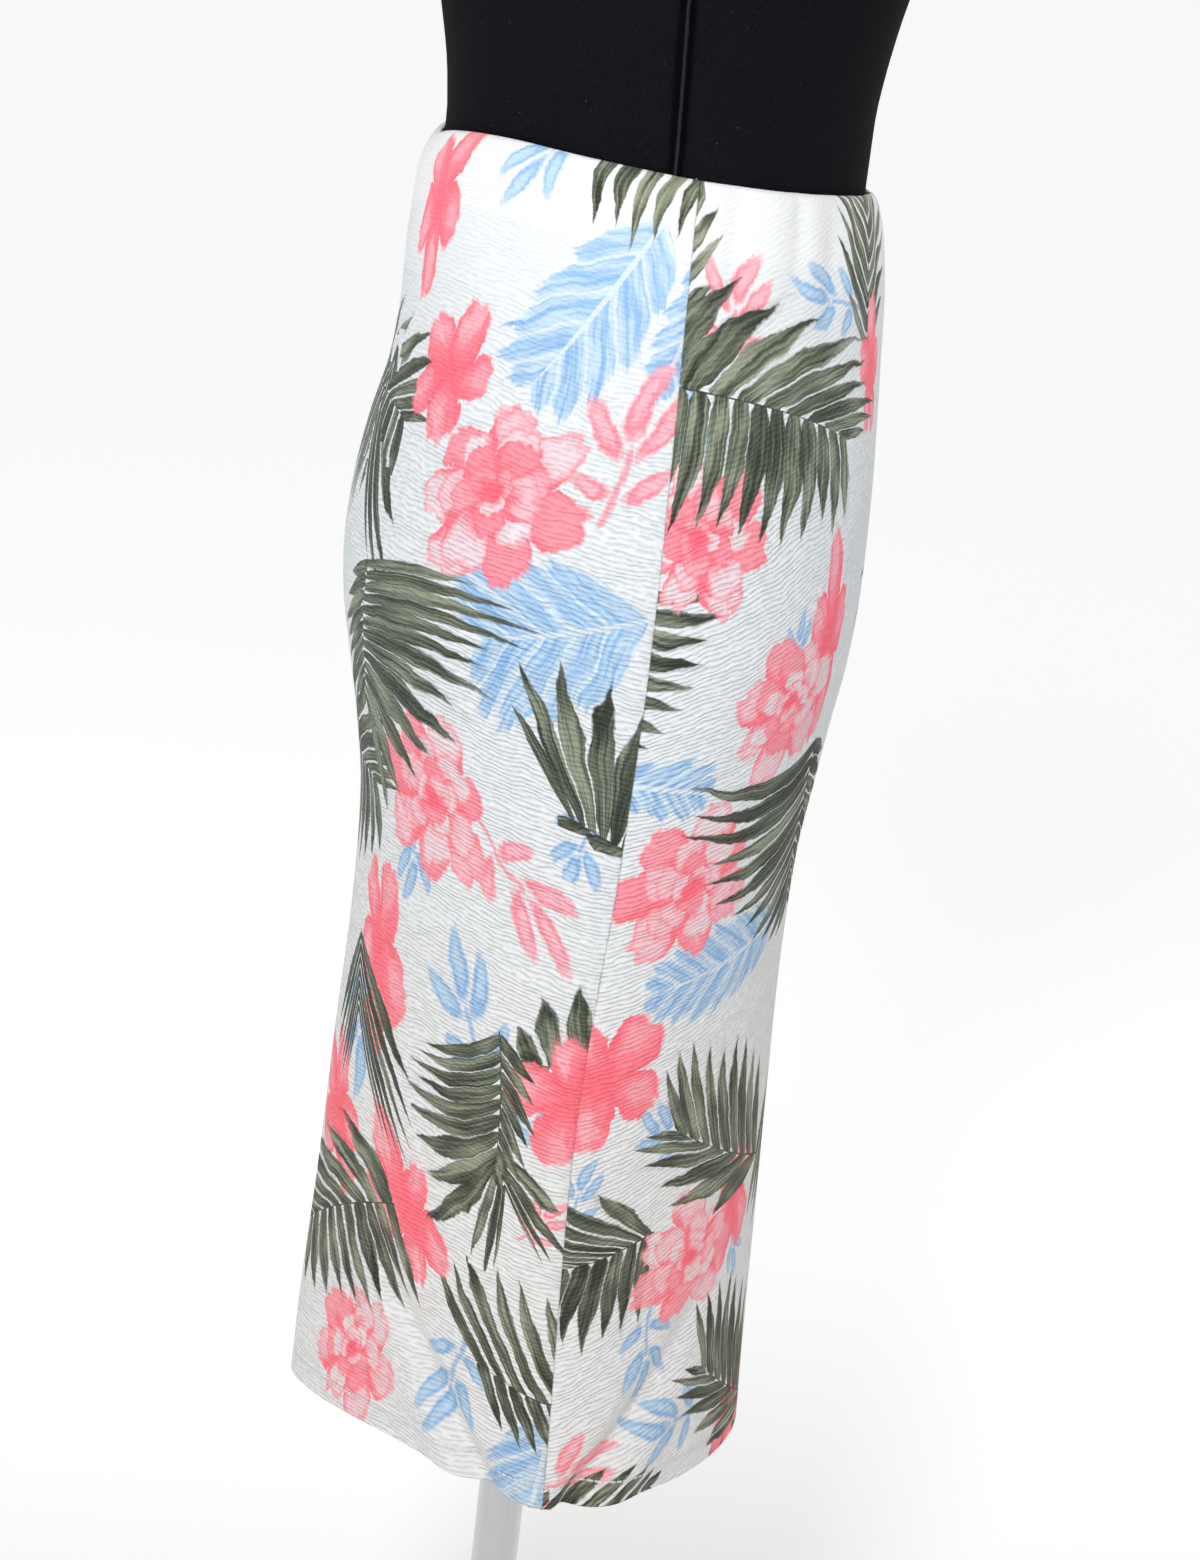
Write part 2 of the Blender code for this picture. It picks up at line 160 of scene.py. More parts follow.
def colour(red, green, blue):  # a screen colour, 0 to 255, as the shader's
    found = []
    for part in (red, green, blue):
        part = part / 255
        found.append(part / 12.92 if part <= 0.04045 else ((part + 0.055) / 1.055) ** 2.4)
    return (*found, 1.0)


def cosSin(degrees):
    return math.cos(math.radians(degrees)), math.sin(math.radians(degrees))


def readTable(rows, at):
    # a table's other columns at values of its first, on a smooth curve through its rows
    rows = np.array(rows, float)
    keys = rows[:, 0]
    at = np.clip(np.asarray(at, float), keys[0], keys[-1])
    low = np.clip(np.searchsorted(keys, at, side="right") - 1, 0, len(keys) - 2)
    after = np.minimum(np.arange(len(keys)) + 1, len(keys) - 1)
    before = np.maximum(np.arange(len(keys)) - 1, 0)
    slope = (rows[after] - rows[before]) / (keys[after] - keys[before])[:, None]
    span = (keys[low + 1] - keys[low])[..., None]
    t = (at - keys[low])[..., None] / span
    found = (2 * t**3 - 3 * t**2 + 1) * rows[low] + (t**3 - 2 * t**2 + t) * span * slope[low]
    found += (3 * t**2 - 2 * t**3) * rows[low + 1] + (t**3 - t**2) * span * slope[low + 1]
    return found[..., 1:]


def smoothstep(low, high, value):
    t = np.clip((np.asarray(value, float) - low) / (high - low), 0, 1)
    return t * t * (3 - 2 * t)


def quarter(halfWidth, depth, sideRound, endRound, steps=90):
    # a quarter outline from (halfWidth, 0) at the side to (0, depth) at the middle
    t = np.linspace(0, 1, steps + 1)[:, None]
    corners = np.array([
        (halfWidth, 0), (halfWidth, sideRound * depth), (endRound * halfWidth, depth), (0, depth),
    ])
    weights = np.hstack([(1 - t) ** 3, 3 * t * (1 - t) ** 2, 3 * t * t * (1 - t), t**3])
    return weights @ corners


def lengthsAlong(line):
    return np.concatenate([[0], np.cumsum(np.linalg.norm(np.diff(line, axis=0), axis=1))])


def pointsAt(at, lengths, line):
    # x and y at distances along a line
    return np.stack([np.interp(at, lengths, line[:, axis]) for axis in (0, 1)])


def gridOf(rows, columns):
    # a flat grid, and the row and column of each of its points
    grid = bmesh.new()
    bmesh.ops.create_grid(grid, x_segments=columns, y_segments=rows, size=0.5)
    spots = [((0.5 - vert.co.y) * rows, (vert.co.x + 0.5) * columns) for vert in grid.verts]
    return grid, [(round(row), round(column)) for row, column in spots]


def meshObject(name, shape, materials):
    mesh = bpy.data.meshes.new(name)
    shape.to_mesh(mesh)
    shape.free()
    mesh.shade_smooth()
    for material in materials:
        mesh.materials.append(material)
    made = bpy.data.objects.new(name, mesh)
    bpy.context.scene.collection.objects.link(made)
    return made


def addPiece(name, shape, materials, node):
    # a finished piece, which rides on the part and stands for one of its nodes
    piece = meshObject(name, shape, materials)
    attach(piece, "root")
    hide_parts(node)
    return piece


skirt = {
    "waistHeight": 1.03,
    "length": 66.0,
    "thickness": 0.105,
    "casingDepth": 3.0,
    "casingRound": 0.2,  # the fold along the top edge
    "hemDepth": 1.4,
    "hemRound": 0.13,
    "creaseStart": 1.5,  # how far from a seam the creases are whole
    "runStep": 0.4,  # over which the outline's direction is taken
    "rowStep": 0.33,
    "turnRows": (10, 6, 5),  # inside the casing, round each fold and inside the hem
    "columns": 146,
    "noiseShift": 60.0,  # the two panels' noise differs
    "seamStrip": 0.2,  # it is flat beside each side seam
    "seamColumns": (0.05, 0.11, 0.18, 0.27, 0.38, 0.52, 0.7, 0.95),
    "seamCurl": (0.26, 0.12),  # the seam's two edges roll inwards
    "seamGroove": 0.085,
    "grooveWidth": 0.22,
    "seamPucker": 0.03,
    # rate phase share of the waves that the stitching puckers the seam in
    "puckerWaves": ((2.1, 0.0, 1.0), (3.7, 1.3, 1.0), (5.9, 0.4, 0.7)),
    "puckerReach": 0.8,
    "stitchLine": 64.75,
    "stitchLength": 0.34,
    # drop halfWidth seamY front back sideFront endFront sideBack endBack
    "outlines": (
        (0.0, 13.15, -1.3, 9.60, 12.02, 0.56, 0.58, 0.56, 0.58),
        (0.6, 13.45, -1.3, 9.90, 12.38, 0.56, 0.58, 0.56, 0.58),
        (1.5, 13.65, -1.3, 10.20, 12.66, 0.56, 0.58, 0.56, 0.58),
        (3.0, 13.90, -1.3, 10.50, 12.78, 0.56, 0.58, 0.56, 0.58),
        (5.0, 14.30, -1.3, 10.75, 12.90, 0.56, 0.58, 0.56, 0.58),
        (8.0, 15.05, -1.3, 10.95, 12.92, 0.56, 0.58, 0.56, 0.58),
        (11.0, 15.85, -1.3, 11.15, 13.20, 0.56, 0.58, 0.56, 0.58),
        (14.0, 16.45, -1.3, 11.32, 13.92, 0.56, 0.58, 0.56, 0.58),
        (17.0, 16.90, -1.3, 11.40, 14.42, 0.56, 0.58, 0.56, 0.58),
        (20.0, 17.05, -1.3, 11.40, 14.60, 0.55, 0.58, 0.55, 0.58),
        (23.0, 16.95, -1.3, 11.22, 14.38, 0.54, 0.57, 0.54, 0.56),
        (26.0, 16.65, -1.25, 10.88, 13.75, 0.52, 0.55, 0.50, 0.54),
        (29.0, 16.25, -1.2, 10.58, 13.08, 0.50, 0.54, 0.47, 0.52),
        (33.0, 15.70, -1.1, 10.25, 12.42, 0.48, 0.53, 0.44, 0.48),
        (39.0, 15.00, -0.8, 10.45, 12.00, 0.45, 0.52, 0.38, 0.44),
        (46.0, 14.40, -0.6, 10.85, 12.05, 0.42, 0.50, 0.32, 0.38),
        (54.0, 13.95, -0.8, 10.95, 12.48, 0.38, 0.46, 0.26, 0.32),
        (61.0, 13.65, -1.05, 10.95, 13.05, 0.36, 0.42, 0.22, 0.27),
        (66.0, 13.50, -1.2, 11.05, 13.30, 0.34, 0.40, 0.20, 0.25),
    ),
}

panels = {
    "front": {
        "facing": -1,
        "node": "skirt_front",
        "crepeTilt": -24.0,
        # across top foot: the height of the top edge and the hem, from a seam to the middle
        "edges": (
            (0.0, 0.3, 0.0), (0.25, 0.12, 0.0), (0.5, 0.0, -0.22), (0.75, -0.12, -0.25),
            (1.0, -0.24, -0.1),
        ),
        # along top foot slant width depth: soft troughs, and ridges where the depth is negative
        "creases": (
            (1.9, -2.2, 5.0, 0.1, 0.45, 0.22), (3.6, -2.0, 6.5, 0.3, 0.7, -0.1),
            (5.2, -2.4, 5.5, 0.2, 0.5, 0.18), (7.6, -1.8, 7.5, 0.3, 0.8, 0.2),
            (9.9, -2.2, 5.0, 0.2, 0.6, 0.14), (13.4, -1.8, 6.0, 0.2, 0.9, 0.16),
            (17.5, -2.2, 5.0, -0.1, 0.7, 0.14), (21.4, -1.8, 7.0, -0.2, 1.0, 0.18),
            (25.4, -2.0, 5.5, -0.3, 0.7, 0.15), (29.2, -2.2, 6.0, -0.3, 0.6, 0.18),
            (32.4, -2.0, 7.0, -0.4, 0.8, 0.2), (34.8, -2.3, 5.0, -0.2, 0.5, 0.16),
            (11.4, 53.0, 69.0, -12.7, 1.0, 0.95), (14.2, 53.0, 69.0, -12.7, 1.6, -0.4),
            (27.0, 54.0, 69.0, 7.0, 1.3, 0.8), (21.0, 57.0, 69.0, 1.0, 2.6, 0.25),
            (5.5, 42.0, 58.0, -1.5, 2.2, 0.16),
        ),
    },
    "back": {
        "facing": 1,
        "node": "skirt_back",
        "crepeTilt": 4.0,
        "edges": (
            (0.0, 0.3, 0.0), (0.25, 0.7, 0.4), (0.5, 1.0, 0.55), (0.75, 0.8, 0.3),
            (1.0, 0.15, 0.12),
        ),
        "creases": (
            (4.0, 0.9, 7.0, 0.2, 1.1, 0.14), (9.5, 0.9, 6.5, 0.1, 1.3, 0.1),
            (16.5, 0.9, 8.0, 0.0, 1.2, 0.16), (24.0, 0.9, 7.5, -0.2, 1.3, 0.15),
            (31.5, 0.9, 6.5, -0.2, 1.2, 0.12), (37.0, 0.9, 7.0, -0.3, 1.1, 0.16),
            (14.9, 52.0, 69.0, -14.0, 0.95, 0.85), (17.0, 52.0, 69.0, -14.0, 1.3, -0.42),
            (29.0, 53.0, 69.0, 9.6, 1.2, 0.75), (24.0, 57.0, 69.0, 0.6, 2.4, 0.2),
            (5.0, 27.0, 38.0, 4.0, 1.6, 0.12), (3.0, 31.0, 41.0, 5.0, 1.5, 0.1),
        ),
    },
}


def creaseDip(creases, along, fromSeam, drop):
    # how deep the creases are at each place; one whose foot lies below the hem is deepest there
    dip = np.zeros_like(along)
    for start, top, foot, slant, wide, deep in creases:
        down = np.clip((drop - top) / (foot - top), 0, 1)
        across = (along - start - slant * down) / wide
        rise = np.sin(np.pi * down * (0.5 if foot > skirt["length"] else 1.0)) ** 1.3
        dip += deep * np.exp(-across * across) * rise
    return dip * smoothstep(0, skirt["creaseStart"], fromSeam)


def panelProfile():
    # down the cloth: inside the casing, over the top edge, down the face and up inside the hem.
    # each row is its drop, how far it lies inside the outline, and its place on the flat cloth
    top, foot = skirt["casingRound"], skirt["hemRound"]
    bottom = skirt["length"] - foot
    casingRows, foldRows, hemRows = skirt["turnRows"]
    steps = round((bottom - top) / skirt["rowStep"])
    turn = np.linspace(math.pi, 0, foldRows + 2)[1:-1]
    casing = np.linspace(skirt["casingDepth"], top, casingRows)
    hem = np.linspace(bottom, skirt["length"] - skirt["hemDepth"], hemRows)
    rows = [(d, 2 * top, (2 - math.pi) * top - d) for d in casing]
    rows += [(top - top * math.sin(a), top - top * math.cos(a), top - top * a) for a in turn]
    rows += [(d, 0.0, d) for d in np.linspace(top, bottom, steps)]
    for a in turn[::-1]:
        rows.append((bottom + foot * math.sin(a), foot - foot * math.cos(a), bottom + foot * a))
    rows += [(d, 2 * foot, 2 * bottom + math.pi * foot - d) for d in hem]
    return np.array(rows)


def panelGrid(panel):
    # for every row and column: the point, and x, y and the distance from a seam on the cloth
    facing, strip, step = panel["facing"], skirt["seamStrip"], skirt["runStep"]
    near = np.array(skirt["seamColumns"])
    curl = skirt["seamCurl"]
    places, cloth = [], []
    for drop, inset, flat in panelProfile():
        halfWidth, seamY, front, back, sideF, endF, sideB, endB = readTable(skirt["outlines"], drop)
        depth, side, end = (front, sideF, endF) if facing < 0 else (back, sideB, endB)
        half = np.vstack([(halfWidth, 0), quarter(halfWidth, depth - strip, side, end) + (0, strip)])
        whole = np.vstack([half * (-1, 1), half[-2::-1]])
        lengths = lengthsAlong(whole)
        width = lengths[-1]
        middle = np.linspace(near[-1], width - near[-1], skirt["columns"] + 1)[1:-1]
        along = np.concatenate([[0] * 3, near, middle, width - near[::-1], [width] * 3])
        x, y = pointsAt(along, lengths, whole)
        run = pointsAt(np.minimum(along + step, width), lengths, whole)
        run -= pointsAt(np.maximum(along - step, 0), lengths, whole)
        run /= np.linalg.norm(run, axis=0)
        fromSeam = np.minimum(along, width - along)
        groove = skirt["seamGroove"] * np.exp(-((fromSeam / skirt["grooveWidth"]) ** 2))
        wave = sum(share * math.sin(drop * rate + phase) for rate, phase, share in skirt["puckerWaves"])
        pucker = skirt["seamPucker"] * wave * np.exp(-fromSeam / skirt["puckerReach"])
        inward = inset + creaseDip(panel["creases"], along, fromSeam, drop) + groove
        inward += pucker * smoothstep(0, strip, fromSeam)
        inward[:2] += curl
        inward[-2:] += curl[::-1]
        x, y = x + run[1] * inward, y - run[0] * inward
        edge = readTable(panel["edges"], 2 * fromSeam / width)
        height = edge[:, 0] + (edge[:, 1] - skirt["length"] - edge[:, 0]) * drop / skirt["length"]
        places.append(np.stack([x, seamY + facing * y, height], axis=1))
        across = facing * (width / 2 - along)
        cloth.append(np.stack([across, np.full_like(along, flat), fromSeam], axis=1))
    places, cloth = np.array(places) * cm, np.array(cloth)
    places[..., 2] += skirt["waistHeight"]
    return places, cloth


# what the print is made of. x is across a panel from its middle, to the right as it is looked at,
# and y is down from its top edge. turn is the way a motif points, clockwise from straight up.
frondKinds = {
    # how far its line bends, and its right and left sides. A side is: shares of the reach and of the
    # pitch, the leaflets' sweep at the base and at the end, how late it changes, their curl, and
    # how long they are at the base, where they are longest, and at the end
    "hanging": (
        20, (1.0, 1.0, -0.22, 0.75, 2.0, -0.026, 0.8, 0.35, 0.5),
        (0.84, 1.35, 0.2, 2.6, 1.1, 0.07, 0.95, 0.08, 0.14),
    ),
    "fan": (
        6, (0.32, 1.3, 0.6, 1.6, 1.0, 0.02, 0.6, 0.3, 0.3),
        (1.0, 1.0, -0.52, 1.3, 4.0, 0.016, 0.6, 0.18, 0.28),
    ),
    "tuft": (
        0, (1.0, 1.0, -0.22, 1.25, 1.2, -0.01, 0.95, 0.4, 0.36),
        (0.12, 2.4, 0.6, 1.4, 1.0, 0.0, 1.0, 0.0, 0.6),
    ),
    "comb": (
        16, (1.0, 1.0, 0.72, 2.6, 6.0, -0.08, 0.8, 0.35, 0.45),
        (0.3, 1.1, 0.9, 1.6, 1.0, 0.0, 1.0, 0.2, 0.3),
    ),
    "plume": (
        -8, (1.0, 1.0, 0.12, 0.5, 1.0, -0.036, 1.0, 0.1, 0.16),
        (0.35, 1.2, 0.6, 1.6, 1.0, 0.02, 0.6, 0.3, 0.3),
    ),
    "crest": (
        10, (1.0, 1.0, 0.75, 1.7, 1.4, -0.03, 1.0, 0.25, 0.4),
        (0.62, 1.4, 1.2, 3.2, 1.0, -0.06, 1.0, 0.05, 0.15),
    ),
    "brush": (
        10, (1.0, 1.0, 0.75, 1.7, 1.4, -0.03, 1.0, 0.25, 0.4),
        (0.5, 0.9, -0.55, -0.8, 1.0, 0.02, 1.0, 0.3, 0.9),
    ),
    "palm": (
        4, (0.85, 0.6, 0.55, 5.6, 1.0, 0.0, 1.0, 0.05, 0.2),
        (1.0, 1.0, 0.36, 0.55, 1.0, -0.02, 0.9, 0.4, 0.75),
    ),
    "droop": (
        4, (1.0, 1.0, 0.5, 0.1, 1.0, -0.02, 0.9, 0.35, 0.6),
        (0.2, 1.5, 0.5, 1.0, 1.0, 0.0, 0.9, 0.35, 0.4),
    ),
    "feather": (
        14, (1.0, 1.0, 0.8, 1.6, 1.0, 0.03, 0.7, 0.35, 0.25),
        (0.85, 1.0, 0.9, 1.8, 1.0, 0.03, 0.7, 0.35, 0.25),
    ),
    "spray": (
        0, (0.6, 1.0, 1.3, 3.0, 0.6, 0.0, 1.0, 0.0, 0.4),
        (1.0, 1.0, 1.1, 3.0, 0.6, 0.0, 1.0, 0.0, 0.4),
    ),
    "foot": (
        0, (0.78, 1.0, 0.5, 3.2, 0.8, 0.0, 1.0, 0.0, 0.3),
        (1.0, 1.0, 0.35, 3.2, 0.8, 0.0, 1.0, 0.0, 0.3),
    ),
    "leaf": (
        8, (1.0, 1.0, 0.75, 1.25, 1.0, 0.045, 0.72, 0.42, 0.2),
        (1.0, 1.0, 0.75, 1.25, 1.0, 0.045, 0.72, 0.42, 0.2),
    ),
}

frondPlaces = {
    # layer kind x y turn length reach pitch flip, how light it is and how far its leaflets part
    "front": (
        ("frondOver", "hanging", -22.4, 9.0, 90, 11.6, 7.3, 1.0, 1, 0.05, 0.2),
        ("frondUnder", "spray", -21.6, 7.6, 20, 7.0, 3.4, 1.7, 1, 0.05, 0.7),
        ("frondUnder", "feather", -8.6, 7.4, 4, 8.4, 4.4, 1.05, 1, 0.1, 0.7),
        ("frondUnder", "plume", -24.8, 17.8, 178, 10.8, 5.9, 0.92, -1, -0.05, 0.7),
        ("frondOver", "plume", -8.9, 25.8, 160, 10.5, 10.8, 0.85, 1, -0.1, 0.4),
        ("frondOver", "crest", -4.0, 49.4, -74, 10.4, 6.4, 1.15, 1, 0.05, 0.25),
        ("frondUnder", "palm", -14.0, 51.1, -109, 6.8, 5.4, 1.0, 1, -0.1, 0.35),
        ("frondOver", "crest", -0.6, 64.6, -64, 9.4, 6.2, 1.15, 1, 0.0, 0.25),
        ("frondUnder", "feather", -20.2, 66.8, 76, 8.5, 2.6, 1.2, 1, 0.0, 0.6),
    ),
    "back": (
        ("frondOver", "droop", 14.2, -2.6, 92, 8.8, 6.4, 1.35, 1, 0.1, 0.75),
        ("frondUnder", "hanging", -1.0, 12.2, 88, 9.5, 6.2, 0.95, 1, 0.0, 0.5),
        ("frondUnder", "spray", 3.4, 10.0, 172, 4.0, 6.2, 0.9, 1, -0.1, 0.6),
        ("frondOver", "fan", 7.6, 20.3, 197, 8.0, 12.8, 0.62, 1, 0.1, 0.15),
        ("frondUnder", "tuft", 22.6, 30.7, -66, 3.0, 9.5, 0.5, 1, 0.0, 0.2),
        ("frondOver", "comb", 15.6, 41.4, 172, 7.6, 7.4, 0.86, 1, 0.0, 0.3),
        ("frondUnder", "plume", 22.4, 42.4, -86, 5.6, 5.6, 1.35, 1, 0.0, 0.5),
        ("frondOver", "hanging", 8.9, 53.2, -104, 9.4, 6.6, 0.9, -1, 0.0, 0.5),
        ("frondUnder", "brush", 22.0, 60.4, -86, 7.0, 7.0, 1.15, 1, 0.0, 0.7),
        ("frondUnder", "foot", 15.8, 47.4, 165, 2.2, 4.3, 0.55, -1, 0.0, 0.5),
        ("frondUnder", "hanging", -3.5, 30.6, 88, 9.0, 7.0, 0.85, 1, -0.1, 0.5),
        ("frondOver", "spray", 3.6, 39.8, 170, 4.4, 5.4, 0.66, 1, -0.1, 0.6),
    ),
}

blueLeafPlaces = {
    # x y turn length reach pitch
    "front": (
        (-7.6, 35.2, -110, 10.0, 2.7, 1.4), (-23.0, 27.4, 88, 5.2, 1.7, 1.2),
        (-21.2, 8.2, 175, 3.4, 1.5, 1.0),
    ),
    "back": (
        (19.6, 1.9, 200, 9.2, 3.3, 1.75), (22.3, 2.6, 182, 7.0, 1.5, 1.4),
        (24.8, 19.4, 248, 8.6, 4.6, 1.8), (19.6, 60.6, 184, 7.0, 3.6, 1.7),
    ),
}

sprigPlaces = {
    # tint (1 is blue and 0 pink) x y turn length
    "front": (
        (0, -17.9, 5.6, 20, 3.3), (1, -11.6, 4.6, -84, 2.9), (1, -14.4, 20.6, -8, 1.9),
        (1, -14.4, 45.7, -62, 2.5), (1, -13.5, 57.6, 172, 3.2), (1, -6.6, 53.6, 150, 2.0),
        (1, -10.6, 62.3, -92, 3.6), (1, -18.9, 48.9, 5, 2.2), (0, -17.6, 64.4, 55, 3.6),
        (1, -16.6, 11.4, 140, 1.8),
    ),
    "back": (
        (1, 12.9, -0.2, 196, 3.3), (0, 21.5, 12.4, -8, 4.3), (0, 16.7, 33.9, 134, 4.2),
        (1, 20.3, 30.9, 205, 2.7), (1, 9.4, 34.2, 190, 3.0), (1, 13.7, 41.4, -24, 4.3),
        (1, 4.8, 44.4, 172, 4.2), (1, 13.7, 60.9, -168, 3.7), (1, 18.0, 45.4, 80, 2.3),
        (0, 18.3, 50.6, 38, 2.0),
    ),
}

bloomPlaces = {
    # x y turn radius squash
    "front": (
        (-18.9, 42.5, 10, 4.0, 0.9), (-11.4, 20.6, -4, 5.6, 0.42),
        (-7.2, 50.6, 8, 4.0, 0.6), (-3.4, 63.5, 15, 4.3, 0.55), (-7.5, 8.2, 4, 3.7, 0.5),
    ),
    "back": (
        (6.5, 3.3, 6, 4.5, 0.58), (10.7, 10.7, 18, 3.6, 0.95), (6.0, 40.0, -8, 5.5, 0.48),
        (19.9, 43.7, 35, 4.1, 0.86), (10.0, 53.2, -32, 5.2, 0.52), (3.0, 50.0, -25, 4.7, 0.5),
    ),
}

doublePlaces = {
    "front": (
        (-20.8, 15.6, 25, 4.0, 0.86), (-16.7, 32.4, 0, 4.3, 0.96), (-14.2, 23.4, 40, 4.0, 0.9),
        (-11.0, 53.0, 75, 4.1, 0.82),
    ),
    "back": ((15.9, 15.3, 80, 4.8, 0.94), (11.3, 31.0, 30, 4.9, 0.86), (6.3, 62.2, 20, 4.1, 0.76)),
}

# the halves round the other side repeat the other panel's drawn half, moved across and down
printRepeat = {
    "toFront": -3.0,
    "toBack": -2.0,
    "down": 36.0,
    "drop": 72.0,
    "top": -4.0,
    "nowhere": -9.0,  # the coordinates of the places that no motif reaches
}


def spreadOver(places, x, y):
    # a print's places on both panels. x and y say which of a row's values are its place
    found = {"front": list(places["front"]), "back": list(places["back"])}
    top = printRepeat["top"]
    for source, target, shift in (("back", "front", "toFront"), ("front", "back", "toBack")):
        for row in places[source]:
            moved = list(row)
            moved[x] += printRepeat[shift]
            moved[y] = (row[y] + printRepeat["down"] - top) % printRepeat["drop"] + top
            found[target].append(tuple(moved))
    return found


def fromBase(x, y, baseX, baseY, turn, length=1.0, bend=0.0):
    # along and across a motif's own line, which may bend to the right
    cos, sin = cosSin(turn)
    across = (x - baseX) * cos + (y - baseY) * sin
    along = (x - baseX) * sin - (y - baseY) * cos
    if bend:
        radius = length / math.radians(bend)
        sign = math.copysign(1.0, radius)
        far = np.hypot(along, radius - across)
        along = radius * np.arctan2(sign * along, sign * (radius - across))
        across = radius - sign * far
    return along, across


def frondSides(row, x, y):
    # on each side: which leaflet a place is in, and how far out along it, 0 to 1
    kind, baseX, baseY, turn, length, reach, pitch, flip = row[:8]
    bend, right, left = frondKinds[kind]
    along, across = fromBase(x, y, baseX, baseY, turn, length, bend * flip)
    sides = []
    for shape, sign in ((right, flip), (left, -flip)):
        reachShare, pitchShare, first, last, late, curl, short, longest, end = shape
        count = max(2, round(length / (pitch * pitchShare)))
        out = across * sign
        ahead = np.maximum(out, 0)
        low, high = np.full_like(out, -0.4), np.full_like(out, 1.4)
        for _ in range(18):  # halving finds the leaflet's root, whose line passes through the place
            root = (low + high) / 2
            sweep = first + (last - first) * np.clip(root, 0, 1) ** late
            before = root * length + (sweep + curl * ahead) * ahead < along
            low, high = np.where(before, root, low), np.where(before, high, root)
        rising = np.sin(np.clip(root / max(longest, 0.01), 0, 1) * math.pi / 2)
        falling = np.cos(np.clip((root - longest) / (1 - longest), 0, 1) * math.pi / 2)
        share = np.where(root < longest, short + (1 - short) * rising, end + (1 - end) * falling)
        sides.append((root * count, out / (reach * reachShare * share), np.full_like(x, count)))
    return sides


def writeCorners(mesh, name, values):
    layer = mesh.attributes.new(name, "FLOAT_VECTOR", "CORNER")
    layer.data.foreach_set("vector", values.astype(np.float32).ravel())


def drawLayer(mesh, corners, name, width, rows):
    # writes a layer's coordinates to the corners of the faces that each motif reaches
    x, y = corners[:, 0].reshape(-1, 4), corners[:, 1].reshape(-1, 4)
    best = np.full(len(x), np.inf)
    values = np.full((width, len(x), 4, 3), printRepeat["nowhere"], np.float32)
    for score, coordinates in rows:
        found = score(x.mean(axis=1), y.mean(axis=1))
        take = np.flatnonzero(found < np.minimum(best, 1.0))
        best[take] = found[take]
        for part, value in enumerate(coordinates(x[take], y[take])):
            values[part, take] = value
    for part in range(width):
        writeCorners(mesh, name + "ABC"[part], values[part])


def frondRow(row, seed):
    # how far a place is from being on the frond, under 1 within it, and its coordinates there
    reach, tone, parting = row[5], row[8], row[9]
    margin = 0.5 / reach

    def score(x, y):
        best = np.full_like(x, np.inf)
        for base, out, count in frondSides(row, x, y):
            inside = (out > -0.3) & (base > -0.4) & (base < count + 0.4)
            best = np.minimum(best, np.where(inside, np.abs(out) / (1.08 + margin), np.inf))
        return best

    def coordinates(x, y):
        right, left = frondSides(row, x, y)
        across = right[1] * reach
        whole = (np.full_like(x, seed + parting), across, np.full_like(x, tone))
        return [np.stack(parts, axis=-1) for parts in (right, left, whole)]

    return score, coordinates


def roundRow(baseX, baseY, turn, radius, squash, seed):
    # the same for a flower or a sprig
    def local(x, y):
        along, across = fromBase(x, y, baseX, baseY, turn)
        return across / (radius * squash), along / radius

    def score(x, y):
        across, along = local(x, y)
        return np.hypot(across, along) / (1.22 + 0.4 / radius)

    def coordinates(x, y):
        across, along = local(x, y)
        return (np.stack([across, along, np.full_like(x, seed)], axis=-1),)

    return score, coordinates


def drawPrint(mesh, corners, panel):
    fronds = spreadOver(frondPlaces, 2, 3)[panel]
    for layer in ("frondUnder", "frondOver"):
        rows = [frondRow(row[1:], k) for k, row in enumerate(fronds) if row[0] == layer]
        drawLayer(mesh, corners, layer, 3, rows)
    leaves = spreadOver(blueLeafPlaces, 0, 1)[panel]
    rows = [frondRow(("leaf", *row, 1, 0.0, 0.0), k) for k, row in enumerate(leaves)]
    drawLayer(mesh, corners, "blueLeaf", 3, rows)
    sprigs = spreadOver(sprigPlaces, 1, 2)[panel]
    rows = [roundRow(*row[1:], 1.0, k + 0.5 * row[0]) for k, row in enumerate(sprigs)]
    drawLayer(mesh, corners, "sprig", 1, rows)
    for layer, places in (("bloom", bloomPlaces), ("doubleBloom", doublePlaces)):
        rows = [roundRow(*row, k) for k, row in enumerate(spreadOver(places, 0, 1)[panel])]
        drawLayer(mesh, corners, layer, 1, rows)


inks = {
    "ground": colour(246, 247, 247),
    # painted shade in the crepe's hollows, on the cloth's reverse side
    "paintedHollowShade": colour(168, 178, 188),
    "reverse": colour(232, 235, 236),
    "oliveDark": colour(52, 57, 46),
    "oliveMid": colour(99, 106, 87),
    "oliveLight": colour(160, 165, 142),
    "blueStrong": colour(142, 191, 240),
    "bluePale": colour(205, 230, 249),
    "blueVein": colour(231, 242, 250),
    "coralDeep": colour(255, 106, 122),
    "coral": colour(255, 138, 151),
    "petal": colour(255, 200, 208),
    "petalWhite": colour(250, 236, 239),
    "thread": colour(120, 96, 96),
}

